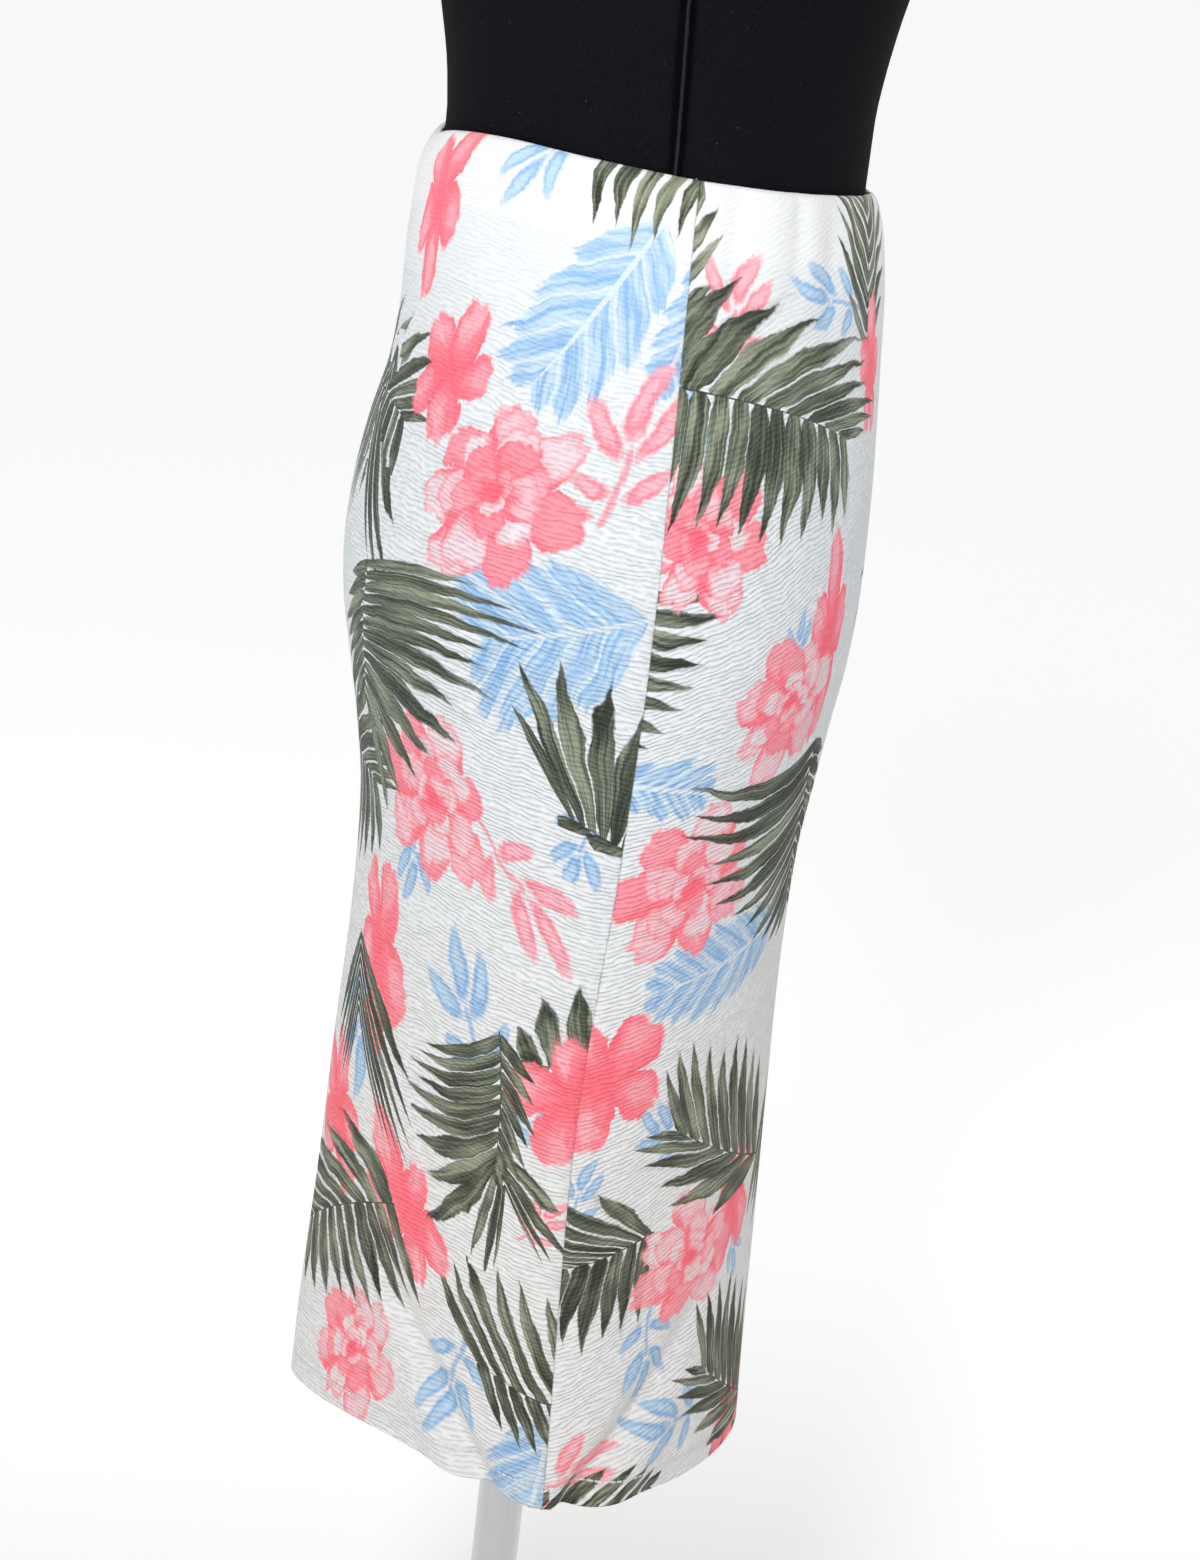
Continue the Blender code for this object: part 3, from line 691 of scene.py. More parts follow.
crepe = {
    "ridgeSpacing": 0.23,
    "bumpHeight": 0.0009,
    # painted shade in the crepe's hollows: how strong it is, and the tint it gives the cloth
    "hollowShade": 0.48,
    "paintedShadeTint": (0.66, 0.7, 0.74),
    "litTopRidges": 0.26,  # how much of the ridges and of their painted shade is left at the top edge, and how far down they are whole: the top is left paler where the light falls strongest
    "litTopDepth": 17.0,
    # the form shows faintly through single cloth, below the casing and down to its own foot; below its
    # foot the cloth is painted darker and warmer towards the hem, painted shade of the skirt's dim
    # inside
    "singleFrom": 3.3,
    "formFoot": 27.5,
    "overForm": (0.93, 0.955, 0.978),
    "paintedShadeBelowForm": (0.955, 0.93, 0.91),
    "paintedGlow": (0.2, 0.012, 0.024),  # painted glow: the coral inks give off a little light of their own, so they stay bright in shade
    "roughness": 0.82,
}


def leafCells(finish, layer, wobble):
    # which leaflet of a layer a place is in, its place across and along it, and its dice
    rightK, rightT, rightN = finish.split(finish.attribute(layer + "A"))
    leftK, leftT, leftN = finish.split(finish.attribute(layer + "B"))
    seed, across, tone = finish.split(finish.attribute(layer + "C"))
    right = rightT > 0
    k = leftK + (rightK - leftK) * right
    t = leftT + (rightT - leftT) * right
    count = leftN + (rightN - leftN) * right
    within = (k > 0) * (k < count)
    k = k + wobble
    cell = k.maths("FLOOR")
    dice = finish.dice(cell, seed, right)
    return {
        "k": k, "t": t, "f": k - cell - 0.5, "dice": dice, "within": within, "along": k / count,
        "across": across, "seed": seed, "tone": tone,
    }


def frondInk(finish, layer, wobble, grain, ground):
    leaf = leafCells(finish, layer, wobble)
    length, lean, shade = leaf["dice"]
    out = leaf["t"] / (length * 0.2 + 0.8)
    side = abs(leaf["f"] + (lean - 0.5) * 0.24 * out * out)
    taper = ((out - 0.42) * (1 / 0.58)).atLeast(0.0)
    opened = leaf["seed"] - leaf["seed"].maths("FLOOR")
    parted = 0.6 - opened * 0.2 - shade.smooth(0.5, 0.9) * 0.1
    slit = out * (lean * 2.6 + 0.7) + 0.36
    half = ((0.62 - opened * 0.1) * (1.0 - taper)).atMost(slit.atMost(parted))
    blade = (half - side + (grain - 0.5) * 0.05).smooth(0.0, 0.07)
    rib = (0.07 - 0.04 * leaf["along"] - abs(leaf["across"])).smooth(0.0, 0.03)
    mask = (blade * (out < 1.0)).atLeast(rib) * leaf["within"]
    streak = finish.streaks(leaf["k"] * 8.0, leaf["t"] * 1.5, leaf["seed"])
    patch = finish.streaks(leaf["k"] * 1.1, leaf["t"] * 2.4, leaf["seed"] + 5.0, 1.0, 0.5)
    rim = (side / half.atMost(0.5).atLeast(0.02)).smooth(0.66, 1.0)
    tip, root = out.smooth(0.55, 1.0), (0.22 - out).smooth(0.0, 0.2)
    tone = leaf["tone"] + 0.5 + (streak - 0.5) * 2.6 + (patch - 0.5) * 1.7 + (shade - 0.5) * 0.3
    tone = tone - rim * 0.2 - tip * 0.34 - root * 0.16 - rib * 0.2
    olives = zip((0.0, 0.5, 1.0), (inks["oliveDark"], inks["oliveMid"], inks["oliveLight"]))
    return finish.mix(mask, ground, finish.ramp(tone, *olives))


def blueLeafInk(finish, layer, wobble, grain, ground):
    leaf = leafCells(finish, layer, wobble)
    lobe = (leaf["f"] * math.tau).maths("COSINE")
    out = leaf["t"] / (lobe * 0.1 + 0.84 + leaf["dice"][0] * 0.12)
    vein = abs(leaf["f"]).smooth(0.41, 0.48)
    vein = vein.atLeast((0.17 - abs(leaf["across"])).smooth(0.0, 0.07))
    strokes = finish.streaks(leaf["k"] * 5.0, leaf["t"] * 1.3, leaf["seed"], 2.0, 0.5)
    ragged = (strokes - 0.5) * 0.45 + (grain - 0.5) * 0.15
    mask = (1.0 - out + ragged).smooth(0.0, 0.16) * leaf["within"]
    strength = (strokes + lobe * 0.05).smooth(0.28, 0.74)
    ink = finish.mix(strength, inks["bluePale"], inks["blueStrong"])
    ink = finish.mix(vein * 0.9, ink, inks["blueVein"])
    return finish.mix(mask * (0.76 + strokes.smooth(0.35, 0.6) * 0.2), ground, ink)


# foot turn length half-width of a sprig's leaves, up its stem
sprigLeaves = (
    (0.05, -6, 0.95, 0.15), (-0.1, 44, 0.88, 0.14), (-0.05, -52, 0.8, 0.14),
    (-0.5, 66, 0.66, 0.125), (-0.45, -74, 0.6, 0.12),
)


def warpedPlace(finish, layer, warp, share):
    # across and along a motif, wavering as a brush does, and its seed
    across, along, seed = finish.split(finish.attribute(layer + "A"))
    return across + warp[0] * share, along + warp[1] * share, seed


def oval(x, y, middle, halfX, halfY):  # 1 at its edge
    return ((x - middle) * (1 / halfX)) ** 2 + (y * (1 / halfY)) ** 2


def sprigInk(finish, warp, grain, ground):
    across, along, seed = warpedPlace(finish, "sprig", warp, 0.22)
    nearest, inside = None, None
    for foot, turn, length, half in sprigLeaves:
        cos, sin = cosSin(turn)
        up = along - foot
        out = up * cos + across * sin
        side = across * cos - up * sin + out * out * (0.3 if turn > 0 else -0.3)
        leaf = oval(out, side, 0.55 * length, 0.46 * length, half)
        inner = oval(out, side, 0.6 * length, 0.34 * length, 0.62 * half)
        nearest = nearest.atMost(leaf) if nearest else leaf
        inside = inside.atMost(inner) if inside else inner
    body = (1.0 - nearest + (grain - 0.5) * 0.8).smooth(-0.25, 0.65)
    stem = abs(across + along * along * 0.12) + (abs(along + 0.35) - 0.42).atLeast(0.0)
    stem = (0.05 - stem + (grain - 0.5) * 0.03).smooth(-0.01, 0.04) * 0.75
    pale = (1.0 - inside + (grain - 0.5) * 1.6).smooth(-0.4, 0.9)
    blue = seed - seed.maths("FLOOR") > 0.25
    strong = finish.mix(blue, inks["coral"], inks["blueStrong"])
    soft = finish.mix(blue, inks["petal"], inks["bluePale"])
    return finish.mix(body.atLeast(stem), ground, finish.mix(pale * 0.85, strong, soft))


def petals(finish, far, angle, seed, count, radius, phase, cleft):
    # a ring of petals: how far out a place is on its petal, across it, and the petal's dice
    turned = angle * (count / math.tau) + phase + seed * 0.37
    cell = turned.maths("FLOOR")
    across = turned - cell - 0.5
    dice = finish.dice(cell.maths("FLOORED_MODULO", float(count)), seed, phase)
    reach = (across * math.pi).maths("COSINE") ** 0.7 * cleft + (1.0 - cleft)
    notch = (0.09 - abs(across + (dice[2] - 0.5) * 0.2)).smooth(0.0, 0.09) * 0.07
    reach = (reach - notch) * (dice[0] * 0.3 + 0.76) * radius
    return far / reach, across, dice


def bloomInk(finish, warp, grain, ground):
    across, along, seed = warpedPlace(finish, "bloom", warp, 0.42)
    far, angle = finish.length(across, along), across.maths("ARCTAN2", along)
    out, side, dice = petals(finish, far, angle, seed, 5, 1.08, 0.1, 0.52)
    mask = (1.0 - out + (grain - 0.5) * 0.05).smooth(-0.03, 0.07)
    streak = finish.streaks(side * 9.0, far * 1.6, seed)
    wash = oval(out, side + (dice[2] - 0.5) * 0.24, 0.68, 0.36, 0.3)
    wash = (1.0 - wash + (streak - 0.5) * 2.6).smooth(0.0, 1.1) * (dice[1] * 0.5 + 0.5)
    deep = (0.4 - far).smooth(0.0, 0.3).atLeast(abs(side).smooth(0.3, 0.48))
    ink = finish.mix(streak.smooth(0.4, 0.65) * 0.6, inks["coral"], inks["coralDeep"])
    ink = finish.mix(deep * 0.65, ink, inks["coralDeep"])
    ink = finish.mix(wash, ink, inks["petal"])
    return finish.mix(mask, ground, ink)


# petals radius phase of a double flower's rings, the outer one first
doubleBloomRings = ((7, 1.1, 0.1), (6, 0.84, 0.6), (5, 0.58, 0.3), (3, 0.32, 0.8))


def doubleBloomInk(finish, warp, ground):
    across, along, seed = warpedPlace(finish, "doubleBloom", warp, 0.36)
    far, angle = finish.length(across, along), across.maths("ARCTAN2", along)
    streak = finish.streaks(angle * 7.0, far * 2.0, seed)
    for count, radius, phase in doubleBloomRings:
        out, side, dice = petals(finish, far, angle, seed, count, radius, phase, 0.34)
        mask = (1.0 - out + (streak - 0.5) * 0.12).smooth(-0.03, 0.06)
        edge = abs(side + (dice[2] - 0.5) * 0.2)
        light = (out + (streak - 0.5) * 0.34).smooth(0.34, 0.74)
        light = light * (1.0 - edge.smooth(0.28, 0.48))
        light = light * (1.0 - out.smooth(0.86, 1.0) * 0.75)
        light = light * (dice[1].smooth(0.1, 0.5) * 0.75 + 0.25)
        pale = finish.mix(dice[2], inks["petal"], inks["petalWhite"])
        shade = (0.6 - out).smooth(0.0, 0.4)
        ink = finish.mix(shade * 0.5 + 0.4, inks["coral"], inks["coralDeep"])
        ground = finish.mix(mask, ground, finish.mix(light, ink, pale))
    return ground


def crepeRidges(finish):
    # the knit's short wavy ridges, 0 to about 1, and the fine grain of its yarn
    place = finish.attribute("crepePlace")
    u, v, side = finish.split(place)
    drift = finish.streaks(u * 0.42, v * 0.55, side, 1.0, 0.5)
    local = finish.streaks(u * 1.7, v * 2.3, side + 9.0, 1.0, 0.5)
    turns = v * (1 / crepe["ridgeSpacing"]) + drift * 3.0 + local * 0.9
    wave = (turns * math.tau).maths("SINE") * 0.5 + 0.5
    breaks = finish.streaks(u * 2.2, v * 4.2, side + 4.0, 1.0, 0.5)
    grain = finish.noise(place, 22.0, 2.0, 0.6)
    waves = 1.0 - (1.0 - wave) ** 1.25 * (breaks.smooth(0.28, 0.62) * 0.62 + 0.38)
    return waves + (grain - 0.5) * 0.3, grain


def crepePrint():
    finish = Finish(
        "crepePrint", Roughness=crepe["roughness"], Specular_IOR_Level=0.25, Sheen_Weight=0.08,
        Emission_Strength=1.0,
    )
    place = finish.attribute("clothPlace")
    clothX, clothY, fromSeam = finish.split(place)
    slowX, slowY, slowZ = finish.split(finish.noise(place, 0.42, 2.0, 0.5, "Color"))
    fastX, fastY, grain = finish.split(finish.noise(place, 3.2, 2.0, 0.5, "Color"))
    warp = (slowX - 0.5 + (fastX - 0.5) * 0.22, slowY - 0.5 + (fastY - 0.5) * 0.22)
    wobble = (slowZ - 0.5) * 0.5 + (fastX - 0.5) * 0.1
    ridges, yarn = crepeRidges(finish)
    # the crepe's ridges and their painted shade fade towards the top edge, which is left paler where
    # the light falls strongest
    ridgesBelowLitTop = clothY.smooth(0.0, crepe["litTopDepth"])
    ridgesBelowLitTop = ridgesBelowLitTop * (1.0 - crepe["litTopRidges"]) + crepe["litTopRidges"]
    # painted shade: the cloth is darkened in the crepe's hollows, between its ridges
    paintedShade = ridges.smooth(0.85, 0.0) * ridgesBelowLitTop
    cloth = inks["ground"]
    cloth = blueLeafInk(finish, "blueLeaf", wobble, grain, cloth)
    cloth = sprigInk(finish, warp, grain, cloth)
    cloth = frondInk(finish, "frondUnder", wobble, grain, cloth)
    cloth = bloomInk(finish, warp, grain, cloth)
    cloth = doubleBloomInk(finish, warp, cloth)
    cloth = frondInk(finish, "frondOver", wobble, grain, cloth)
    # pale flecks of the yarn, and a painted highlight on the tops of the crepe's ridges
    yarnFlecksAndRidgeHighlight = (yarn + (ridges - 0.7) * 0.2).smooth(0.55, 0.85) * 0.22
    cloth = finish.mix(yarnFlecksAndRidgeHighlight, cloth, inks["ground"])
    # painted glow: the coral inks give off a little light of their own
    red, green, blue = finish.split(cloth)
    coral = (red - green).atLeast(0.0)
    glow = finish.join(*(coral * part for part in crepe["paintedGlow"]))
    single = clothY.smooth(crepe["singleFrom"] - 0.15, crepe["singleFrom"] + 0.25)
    # painted shade: below the form's foot the cloth grows darker and warmer towards the hem
    low = clothY.smooth(crepe["formFoot"] - 6.0, crepe["formFoot"] + 26.0)
    behind = finish.mix(low, (*crepe["overForm"], 1.0), (*crepe["paintedShadeBelowForm"], 1.0))
    behind = finish.mix(single, (1.0, 1.0, 1.0, 1.0), behind)
    cloth = finish.scaled(cloth, behind)
    fromStitch = abs(clothY - skirt["stitchLine"])
    dash = abs((clothX * (1 / skirt["stitchLength"])).maths("FRACT") - 0.5)
    stitch = (fromStitch + dash * 0.04).smooth(0.075, 0.045) * dash.smooth(0.46, 0.38)
    # painted shade also lies along the groove of the hem's stitch line, though not on the stitches
    paintedShade = paintedShade.atLeast(fromStitch.smooth(0.16, 0.04)) * (1.0 - stitch)
    shaded = finish.scaled(cloth, crepe["paintedShadeTint"])
    cloth = finish.mix(paintedShade * crepe["hollowShade"], cloth, shaded)
    thread = (0.07 - fromSeam).smooth(0.0, 0.04) * fastY.smooth(0.3, 0.6) * 0.35
    cloth = finish.mix(thread, finish.mix(stitch * 0.8, cloth, inks["reverse"]), inks["thread"])
    ridges = ridges * ridgesBelowLitTop + stitch * 0.5 - fromStitch.smooth(0.14, 0.03) * 0.6
    rough = crepe["roughness"] - 0.06 + yarn * 0.12
    bumped = finish.bump(ridges, crepe["bumpHeight"], 0.8)
    return finish.wear(Base_Color=cloth, Roughness=rough, Emission_Color=glow, Normal=bumped)


def crepeReverse():
    finish = Finish("crepeReverse", Roughness=0.88, Specular_IOR_Level=0.2)
    ridges, yarn = crepeRidges(finish)
    # painted shade in the crepe's hollows, in a grey blue
    paintedShade = ridges.smooth(0.75, 0.05) * crepe["hollowShade"]
    cloth = finish.mix(paintedShade, inks["reverse"], inks["paintedHollowShade"])
    cloth = finish.mix(yarn.smooth(0.5, 0.8) * 0.2, cloth, inks["ground"])
    return finish.wear(Base_Color=cloth, Normal=finish.bump(ridges, crepe["bumpHeight"], 0.6))


def buildPanel(name, materials):
    panel = panels[name]
    places, cloth = panelGrid(panel)
    sheet, spots = gridOf(places.shape[0] - 1, places.shape[1] - 1)
    for vert, spot in zip(sheet.verts, spots):
        vert.co = places[spot]
    if panel["facing"] > 0:
        bmesh.ops.reverse_faces(sheet, faces=sheet.faces)
    piece = addPiece("cloth_" + name, sheet, materials, panel["node"])
    mesh = piece.data
    points = np.empty(len(mesh.loops), np.int32)
    mesh.loops.foreach_get("vertex_index", points)
    corners = cloth[tuple(np.array(spots).T)][points]
    drawPrint(mesh, corners, name)
    shift = skirt["noiseShift"] if panel["facing"] > 0 else 0.0
    cos, sin = cosSin(panel["crepeTilt"])
    x, y, fromSeam = corners.T
    writeCorners(mesh, "clothPlace", np.stack([x + shift, y, fromSeam], 1))
    tilted = [x * cos + y * sin, y * cos - x * sin, np.full_like(x, shift)]
    writeCorners(mesh, "crepePlace", np.stack(tilted, 1))
    wall = piece.modifiers.new("thickness", "SOLIDIFY")
    wall.thickness = skirt["thickness"] * cm
    wall.offset = -1
    wall.use_even_offset = True
    wall.use_quality_normals = True
    wall.material_offset = 1
    widths, flats = np.abs(cloth[:, -1, 0] - cloth[:, 0, 0]), cloth[:, 0, 1]
    area = float(np.sum((widths[1:] + widths[:-1]) / 2 * np.diff(flats))) * cm * cm
    cut = (float(widths.max()) * cm, float(flats[-1] - flats[0]) * cm)
    print("cloth", name, "has", len(mesh.polygons), "faces and a cut of", cut, "m,", area, "m2")
    return piece, cut, area


clothFinishes = [crepePrint(), crepeReverse()]
for name in panels:
    piece, cut, area = buildPanel(name, clothFinishes)


dressForm = {
    "node": "form_torso",
    "sideSeamBehind": 1.1,  # the cover's side seams, behind the widest line
    # height, distance from the seam and width: its raised edge, and the hollow beside it
    "seamRidges": ((0.14, 0.0, 0.11), (-0.18, 0.3, 0.13)),
    "seamsFrom": (0.4, 1.2),  # the rise where the seams begin to show
    "seamColumns": (0.05, 0.1, 0.15, 0.2, 0.26, 0.32, 0.4, 0.52, 0.75),
    "frontColumns": 56,
    "backColumns": 60,
    "ringStep": 0.8,
    "sharpOver": 50,  # degrees between the faces at an edge
    "black": colour(11, 12, 15),
    "lightBlack": colour(19, 20, 24),
    "loopBlack": colour(29, 30, 35),
    "lint": colour(88, 88, 92),
    # painted shade in the hollows beside the cover's seams, and a painted highlight along their raised
    # edge
    "paintedSeamShade": colour(4, 4, 6),
    "paintedSeamHighlight": colour(46, 47, 52),
    "loops": 1150.0,  # in a metre
    "loopHeight": 0.0003,
    # how far its rings inside the skirt lie above its waist
    "risesInSkirt": (
        -28.5, -27.6, -26.2, -24.6, -22.8, -21, -19, -17, -15, -13, -11, -9, -7, -5, -3.4, -2.2,
        -1.2, -0.5,
    ),
    "bust": {"rise": 18.0, "aside": 7.8, "height": 6.0, "width": 5.0, "depth": 1.6},
    # drop inset: how far it lies inside the cloth
    "ease": (
        (0.0, 0.46), (0.6, 0.74), (1.3, 0.84), (2.6, 0.8), (5.0, 0.54), (8.0, 0.42), (12.0, 0.28),
        (17.0, 0.22), (19.0, 0.22), (21.5, 0.34), (24.0, 0.62), (27.0, 1.0), (28.5, 1.9),
    ),
    # rise halfWidth sideY front back side end: above the waist
    "rings": (
        (1.4, 12.66, -1.3, 9.15, 11.52, 0.56, 0.58), (4.0, 12.75, -1.2, 9.32, 11.7, 0.56, 0.58),
        (8.0, 13.3, -1.0, 10.1, 12.3, 0.56, 0.58), (12.0, 14.1, -0.8, 11.1, 12.6, 0.57, 0.6),
        (16.0, 15.0, -0.6, 11.8, 12.7, 0.58, 0.62), (20.0, 15.7, -0.4, 12.1, 12.6, 0.58, 0.62),
        (24.0, 16.4, -0.2, 11.8, 12.3, 0.57, 0.6), (28.0, 17.2, 0.0, 10.7, 11.5, 0.56, 0.58),
        (31.0, 17.6, 0.2, 9.6, 10.5, 0.56, 0.56), (33.0, 17.55, 0.3, 8.8, 9.6, 0.56, 0.54),
        (34.5, 17.0, 0.3, 8.1, 8.9, 0.55, 0.52), (35.6, 15.8, 0.3, 7.6, 8.4, 0.53, 0.5),
        (36.6, 13.8, 0.2, 7.1, 7.9, 0.5, 0.5), (37.5, 11.4, 0.2, 6.7, 7.4, 0.5, 0.52),
        (38.4, 9.0, 0.1, 6.3, 6.9, 0.52, 0.54), (39.4, 7.3, 0.0, 5.9, 6.4, 0.55, 0.55),
        (41.0, 6.3, 0.0, 5.7, 6.0, 0.55, 0.55), (43.0, 5.9, 0.0, 5.6, 5.8, 0.55, 0.55),
    ),
}


def formOutline(rise):
    # halfWidth, sideY, front and back depths, and the rounds of the front and of the back
    def inSkirt(drop):
        inset = readTable(dressForm["ease"], drop)[0]
        return readTable(skirt["outlines"], drop) - inset * np.array([1, 0, 1, 1, 0, 0, 0, 0])

    if rise <= 0:
        return inSkirt(-rise)
    first = dressForm["rings"][0][0]
    above = readTable(dressForm["rings"], max(rise, first))[[0, 1, 2, 3, 4, 5, 4, 5]]
    share = min(rise / first, 1.0)
    return inSkirt(0.0) * (1 - share) + above * share


def formRing(rise):
    # points round the form from its right side seam by the front, the left seam and the back
    halfWidth, sideY, front, back, sideF, endF, sideB, endB = formOutline(rise)
    before, behind = quarter(halfWidth, front, sideF, endF), quarter(halfWidth, back, sideB, endB)
    ring = [before * (-1, -1), before[-2::-1] * (1, -1), behind[1:], behind[-2::-1] * (-1, 1)]
    ring = np.vstack(ring)
    bust = dressForm["bust"]
    aside = (np.abs(ring[:, 0]) - bust["aside"]) / bust["width"]
    swell = bust["depth"] * np.exp(-(aside**2) - ((rise - bust["rise"]) / bust["height"]) ** 2)
    ring[:, 1] += sideY - np.where(ring[:, 1] < 0, swell, 0)
    lengths = lengthsAlong(ring)
    total, half, shift = lengths[-1], lengths[2 * len(before) - 2], dressForm["sideSeamBehind"]
    near = np.concatenate([[0], dressForm["seamColumns"]])

    def between(start, end, columns):
        middle = np.linspace(start + near[-1], end - near[-1], columns)[1:-1]
        return np.concatenate([start + near, middle, end - near[::-1]])

    front = between(-shift, half + shift, dressForm["frontColumns"])
    back = between(half + shift, total - shift, dressForm["backColumns"])
    along = np.concatenate([front, back[1:]])
    x, y = pointsAt(along % total, lengths, ring)
    seams = np.array([-shift, half + shift, total - shift])
    fromSeam = np.abs(along[:, None] - seams).min(axis=1)
    out = np.zeros_like(along)
    for height, middle, width in dressForm["seamRidges"]:
        out += height * np.exp(-(((fromSeam - middle) / width) ** 2))
    out *= smoothstep(*dressForm["seamsFrom"], rise)
    scale = 1 + out / np.hypot(x, y - sideY)
    places = np.stack([x * scale, sideY + (y - sideY) * scale, np.full_like(x, rise)], axis=1)
    return places, fromSeam


def buildForm(material):
    top = dressForm["rings"][-1][0]
    rises = np.linspace(0, top, round(top / dressForm["ringStep"]))
    rings = [formRing(rise) for rise in (*dressForm["risesInSkirt"], *rises)][::-1]
    columns = len(rings[0][0]) - 1
    body, spots = gridOf(len(rings) - 1, columns)
    seam = body.verts.layers.float.new("fromSeam")
    for vert, (row, column) in zip(body.verts, spots):
        places, fromSeam = rings[row]
        vert[seam] = fromSeam[column % columns]
        vert.co = Vector(places[column % columns]) * cm + Vector((0, 0, skirt["waistHeight"]))
    bmesh.ops.remove_doubles(body, verts=body.verts, dist=1e-5)
    bmesh.ops.holes_fill(body, edges=[edge for edge in body.edges if edge.is_boundary], sides=0)
    bmesh.ops.recalc_face_normals(body, faces=body.faces)
    form = addPiece("dress_form_cover", body, [material], dressForm["node"])
    form.data.set_sharp_from_angle(angle=math.radians(dressForm["sharpOver"]))


def blackJersey():
    finish = Finish("blackJersey", Roughness=0.95, Specular_IOR_Level=0.06)
    place = finish.objectPlace()
    loops = finish.noise(finish.scaled(place, (1.0, 1.0, 0.55)), dressForm["loops"], 2.0, 0.6)
    blotch = finish.noise(place, 9.0, 3.0)
    lint = finish.noise(place, 700.0, 0.0).smooth(0.845, 0.89)
    seam = finish.split(finish.attribute("fromSeam"))[0]
    ragged = seam + (finish.noise(place, 420.0, 1.0) - 0.5) * 0.1
    black = finish.mix(blotch, dressForm["black"], dressForm["lightBlack"])
    black = finish.mix(loops.smooth(0.35, 0.75) * 0.5, black, dressForm["loopBlack"])
    black = finish.mix(lint * 0.5, black, dressForm["lint"])
    # painted shade in the hollows beside each seam, and a painted highlight along its raised edge
    black = finish.mix(ragged.smooth(0.46, 0.26) * 0.85, black, dressForm["paintedSeamShade"])
    black = finish.mix(ragged.smooth(0.1, 0.04) * 0.8, black, dressForm["paintedSeamHighlight"])
    bumped = finish.bump(loops, dressForm["loopHeight"], 0.7)
    return finish.wear(Base_Color=black, Normal=bumped)


buildForm(blackJersey())
print("dress form covered")


stand = {
    # in metres
    "capEdge": 0.0048,
    "capFlat": 0.3,  # a share of its radius
    "poleRadius": 0.0125,
    "flangeRadius": 0.045,
    "flangeThickness": 0.005,
    "flangeFillet": 0.01,
    "flangeBevel": 0.0008,
    "poleRings": 12,
    "poleEnd": 0.02,
    "baseEdge": 0.006,
    "baseDome": 0.016,
    "baseRim": 0.004,
    "hubRadius": 0.024,
    "hubEdge": 0.003,
    "hubFillet": 0.012,
    "hubTop": 0.052,
    "socketFloor": 0.008,
    "socketGap": 0.0003,
    "bevelOver": 35,  # degrees between the faces at an edge
    "sharpOver": 40,
    "plastic": (colour(24, 24, 26), colour(36, 36, 38)),
    "plasticGrain": 0.00012,
    "steel": (colour(196, 198, 200), colour(226, 228, 230)),
    "steelGrain": 0.00006,
    "turnedLines": 1800.0,  # in a metre
    "drawnLines": 34.0,  # in a radian
}


def turnedPiece(name, profile, steps, material, node, bevel=0.0):
    # a profile, (radius, height) pairs down its outer side, spun round the middle
    solid = bmesh.new()
    corners = [solid.verts.new((radius, 0.0, up)) for radius, up in profile]
    edges = [solid.edges.new((a, b)) for a, b in zip(corners, corners[1:])]
    bmesh.ops.spin(
        solid, geom=corners + edges, axis=(0, 0, 1), cent=(0, 0, 0), angle=math.tau, steps=steps,
        use_merge=True,
    )
    bmesh.ops.remove_doubles(solid, verts=solid.verts, dist=1e-6)
    bmesh.ops.recalc_face_normals(solid, faces=solid.faces)
    if bevel:
        limit = math.radians(stand["bevelOver"])
        sharp = [edge for edge in solid.edges if edge.calc_face_angle(0.0) > limit]
        bmesh.ops.bevel(
            solid, geom=sharp, offset=bevel, segments=3, profile=0.5, affect="EDGES", material=-1,
        )
    piece = addPiece(name, solid, [material], node)
    piece.data.set_sharp_from_angle(angle=math.radians(stand["sharpOver"]))


def arcOf(middle, radius, start, end, steps=8):
    angles = np.radians(np.linspace(start, end, steps + 1))
    return [(middle[0] + radius * math.cos(a), middle[1] + radius * math.sin(a)) for a in angles]


def blackPlastic():
    finish = Finish("blackPlastic", Roughness=0.42, Specular_IOR_Level=0.45)
    place = finish.objectPlace()
    cloudy = finish.noise(place, 30.0, 3.0)
    tone = finish.mix(cloudy, *stand["plastic"])
    grain = finish.bump(finish.noise(place, 1600.0, 2.0, 0.6), stand["plasticGrain"], 0.5)
    return finish.wear(Base_Color=tone, Roughness=0.36 + cloudy * 0.16, Normal=grain)


def brushedSteel(name, around):
    # brushed round a turned disc, or along a drawn tube
    finish = Finish(name, Metallic=1.0, Roughness=0.34)
    x, y, z = finish.split(finish.objectPlace())
    turn = y.maths("ARCTAN2", x)
    if around:
        fine = stand["turnedLines"]
        lines = finish.join(finish.length(x, y) * fine, turn * 2.0, z * fine)
    else:
        lines = finish.join(turn * stand["drawnLines"], z * 9.0)
    brushing = finish.noise(lines, 1.0, 3.0, 0.65)
    cloudy = finish.noise(finish.join(x, y, z), 26.0, 2.0)
    tone = finish.mix(brushing, *stand["steel"])
    rough = 0.28 + brushing * 0.14 + cloudy * 0.06
    bumped = finish.bump(brushing, stand["steelGrain"], 0.6)
    return finish.wear(Base_Color=tone, Roughness=rough, Normal=bumped)


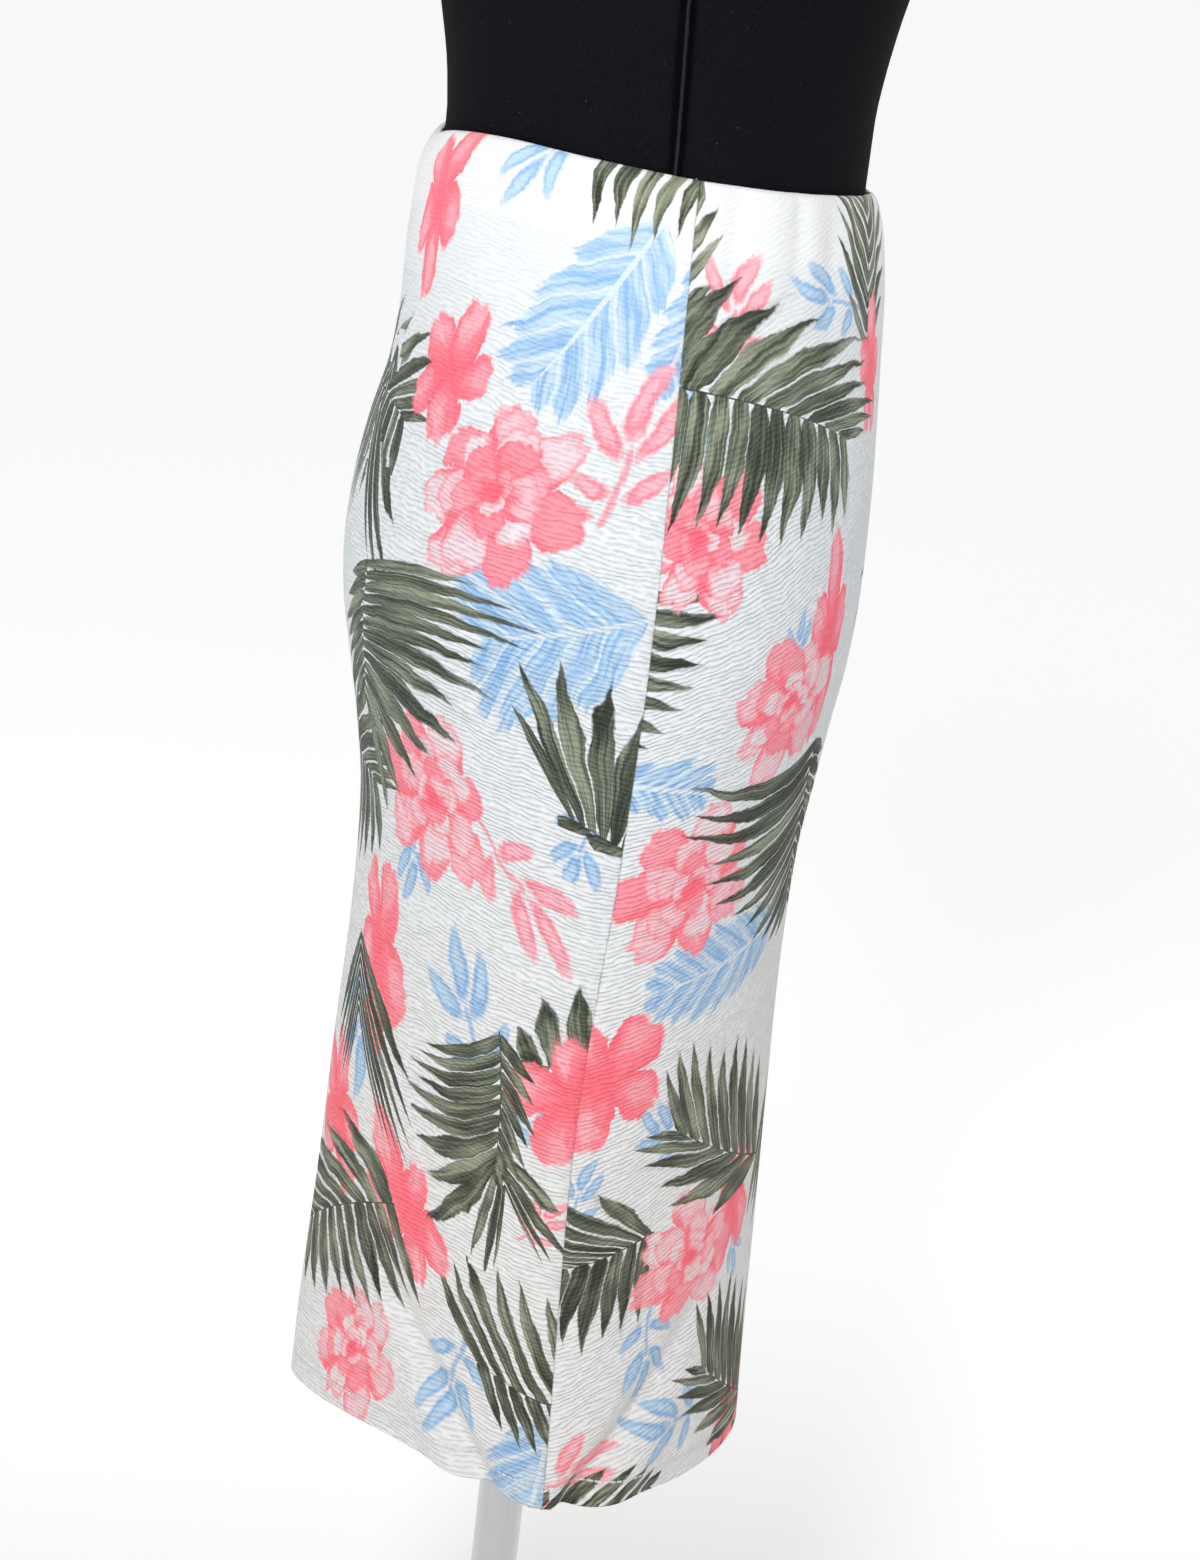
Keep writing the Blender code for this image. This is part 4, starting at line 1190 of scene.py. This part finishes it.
def buildStand():
    low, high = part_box("form_neck_cap")
    edge, radius = stand["capEdge"], high.x
    profile = [(0.0, high.z), (radius * stand["capFlat"], high.z)]
    profile += arcOf((radius - edge, high.z - edge), edge, 90, 0)
    profile += [(radius, low.z), (0.0, low.z)]
    turnedPiece("neck_cap", profile, 96, blackPlastic(), "form_neck_cap")
    low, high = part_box("stand_pole")
    pole, flange, fillet = stand["poleRadius"], stand["flangeRadius"], stand["flangeFillet"]
    collar = high.z - stand["flangeThickness"]
    profile = [(0.0, high.z), (flange, high.z), (flange, collar)]
    profile += arcOf((pole + fillet, collar - fillet), fillet, 90, 180)
    start, end = collar - 2 * fillet, low.z + stand["poleEnd"]
    profile += [(pole, up) for up in np.linspace(start, end, stand["poleRings"])]
    profile += [(pole, low.z), (0.0, low.z)]
    steel = brushedSteel("drawnSteel", False)
    turnedPiece("pole", profile, 64, steel, "stand_pole", stand["flangeBevel"])
    low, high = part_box("stand_base")
    hub, hubFillet, radius = stand["hubRadius"], stand["hubFillet"], high.x
    bore, dome = pole + stand["socketGap"], stand["baseDome"]
    profile = [(0.0, stand["socketFloor"]), (bore, stand["socketFloor"]), (bore, stand["hubTop"])]
    hubEdge = stand["hubEdge"]
    profile += arcOf((hub - hubEdge, stand["hubTop"] - hubEdge), hubEdge, 90, 0, 4)
    profile += arcOf((hub + hubFillet, dome + hubFillet), hubFillet, 180, 270)
    profile += arcOf((radius - stand["baseEdge"], stand["baseRim"]), stand["baseEdge"], 80, 0)
    profile += [(radius, 0.0), (0.0, 0.0)]
    steel = brushedSteel("turnedSteel", True)
    turnedPiece("round_base", profile, 160, steel, "stand_base")


buildStand()
print("neck cap, pole and base turned")


# the photo's camera, in metres and degrees
photoView = {
    "place": (-1.57615, 0.11022, 1.14),
    "yaw": -4.3322,
    "pitch": 15.038,
    "roll": 6.5535,
    "focalPixels": 3174.36,
    "imageHeight": 1560,
    "sensor": 36.0,
    "clipEnd": 100.0,
}


def placeCamera():
    cosYaw, sinYaw = cosSin(photoView["yaw"])
    cosPitch, sinPitch = cosSin(photoView["pitch"])
    cosRoll, sinRoll = cosSin(photoView["roll"])
    ahead = Vector((cosPitch * cosYaw, cosPitch * sinYaw, -sinPitch))
    right = ahead.cross(Vector((0, 0, 1))).normalized()
    up = right.cross(ahead)
    rightRolled = cosRoll * right + sinRoll * up
    upRolled = cosRoll * up - sinRoll * right
    data = bpy.data.cameras.new("photoCamera")
    data.sensor_width = photoView["sensor"]
    data.lens = photoView["focalPixels"] * photoView["sensor"] / photoView["imageHeight"]
    data.clip_end = photoView["clipEnd"]
    camera = bpy.data.objects.new("photoCamera", data)
    bpy.context.scene.collection.objects.link(camera)
    axes = Matrix((rightRolled, upRolled, -ahead)).transposed().to_4x4()
    camera.matrix_world = Matrix.Translation(photoView["place"]) @ axes
    bpy.context.scene.camera = camera


placeCamera()

# in metres
studio = {
    "floorSize": 90.0,
    "floorCells": 48,
    "floor": colour(252, 251, 250),
    "floorRise": 26.0,  # far off, so that the floor fills the view up to the horizon
    "riseFrom": 12.0,
    "sky": 0.34,
    # the floor behind the skirt is lit from below: from and to an x, and a radius
    "backGlow": colour(178, 179, 180),
    "glowX": (-0.5, 1.2),
    "glowRadius": (1.5, 5.0),
    "aim": (0.0, 0.0, 0.85),
    # kind place size or spread, power and tint
    "lamps": {
        "keyLight": ("AREA", (-2.0, 0.62, 2.3), 0.5, 32.5, (0.98, 1.0, 1.01)),
        "topLight": ("SUN", (0.0, 0.0, 4.0), math.radians(50), 0.35, (1.0, 0.985, 0.97)),
        "fillLight": ("AREA", (1.3, -1.1, 1.7), 1.4, 3.0, (1.0, 0.99, 0.98)),
    },
}


def addLamp(name, kind, place, size, power, tint):
    light = bpy.data.lights.new(name, kind)
    light.energy, light.color = power, tint
    lamp = bpy.data.objects.new(name, light)
    lamp.location = place
    if kind == "SUN":
        light.angle = size
    else:
        light.shape, light.size = "DISK", size
        lamp.visible_camera = False
        aim = Vector(studio["aim"]) - Vector(place)
        lamp.rotation_euler = aim.to_track_quat("-Z", "Y").to_euler()
    bpy.context.scene.collection.objects.link(lamp)


def buildStudio():
    world = bpy.data.worlds.new("softRoom")
    world.use_nodes = True
    background = world.node_tree.nodes["Background"].inputs
    background["Color"].default_value = (1.0, 1.0, 1.0, 1.0)
    background["Strength"].default_value = studio["sky"]
    bpy.context.scene.world = world
    size, cells = studio["floorSize"], studio["floorCells"]
    floor = bmesh.new()
    bmesh.ops.create_grid(floor, x_segments=cells, y_segments=cells, size=size)
    for vert in floor.verts:
        rise = float(smoothstep(studio["riseFrom"], size, vert.co.length))
        vert.co.z = studio["floorRise"] * rise
    finish = Finish("paleFloor", Base_Color=studio["floor"], Roughness=0.9, Emission_Strength=1.0)
    x, y, z = finish.split(finish.objectPlace())
    far = finish.length(x, y).smooth(*studio["glowRadius"])
    glow = x.smooth(*studio["glowX"]).atLeast(far)
    glow = finish.mix(glow, (0.0, 0.0, 0.0, 1.0), studio["backGlow"])
    piece = meshObject("floor", floor, [finish.wear(Emission_Color=glow)])
    for name, settings in studio["lamps"].items():
        addLamp(name, *settings)


buildStudio()
bpy.context.scene.view_settings.view_transform = "Standard"
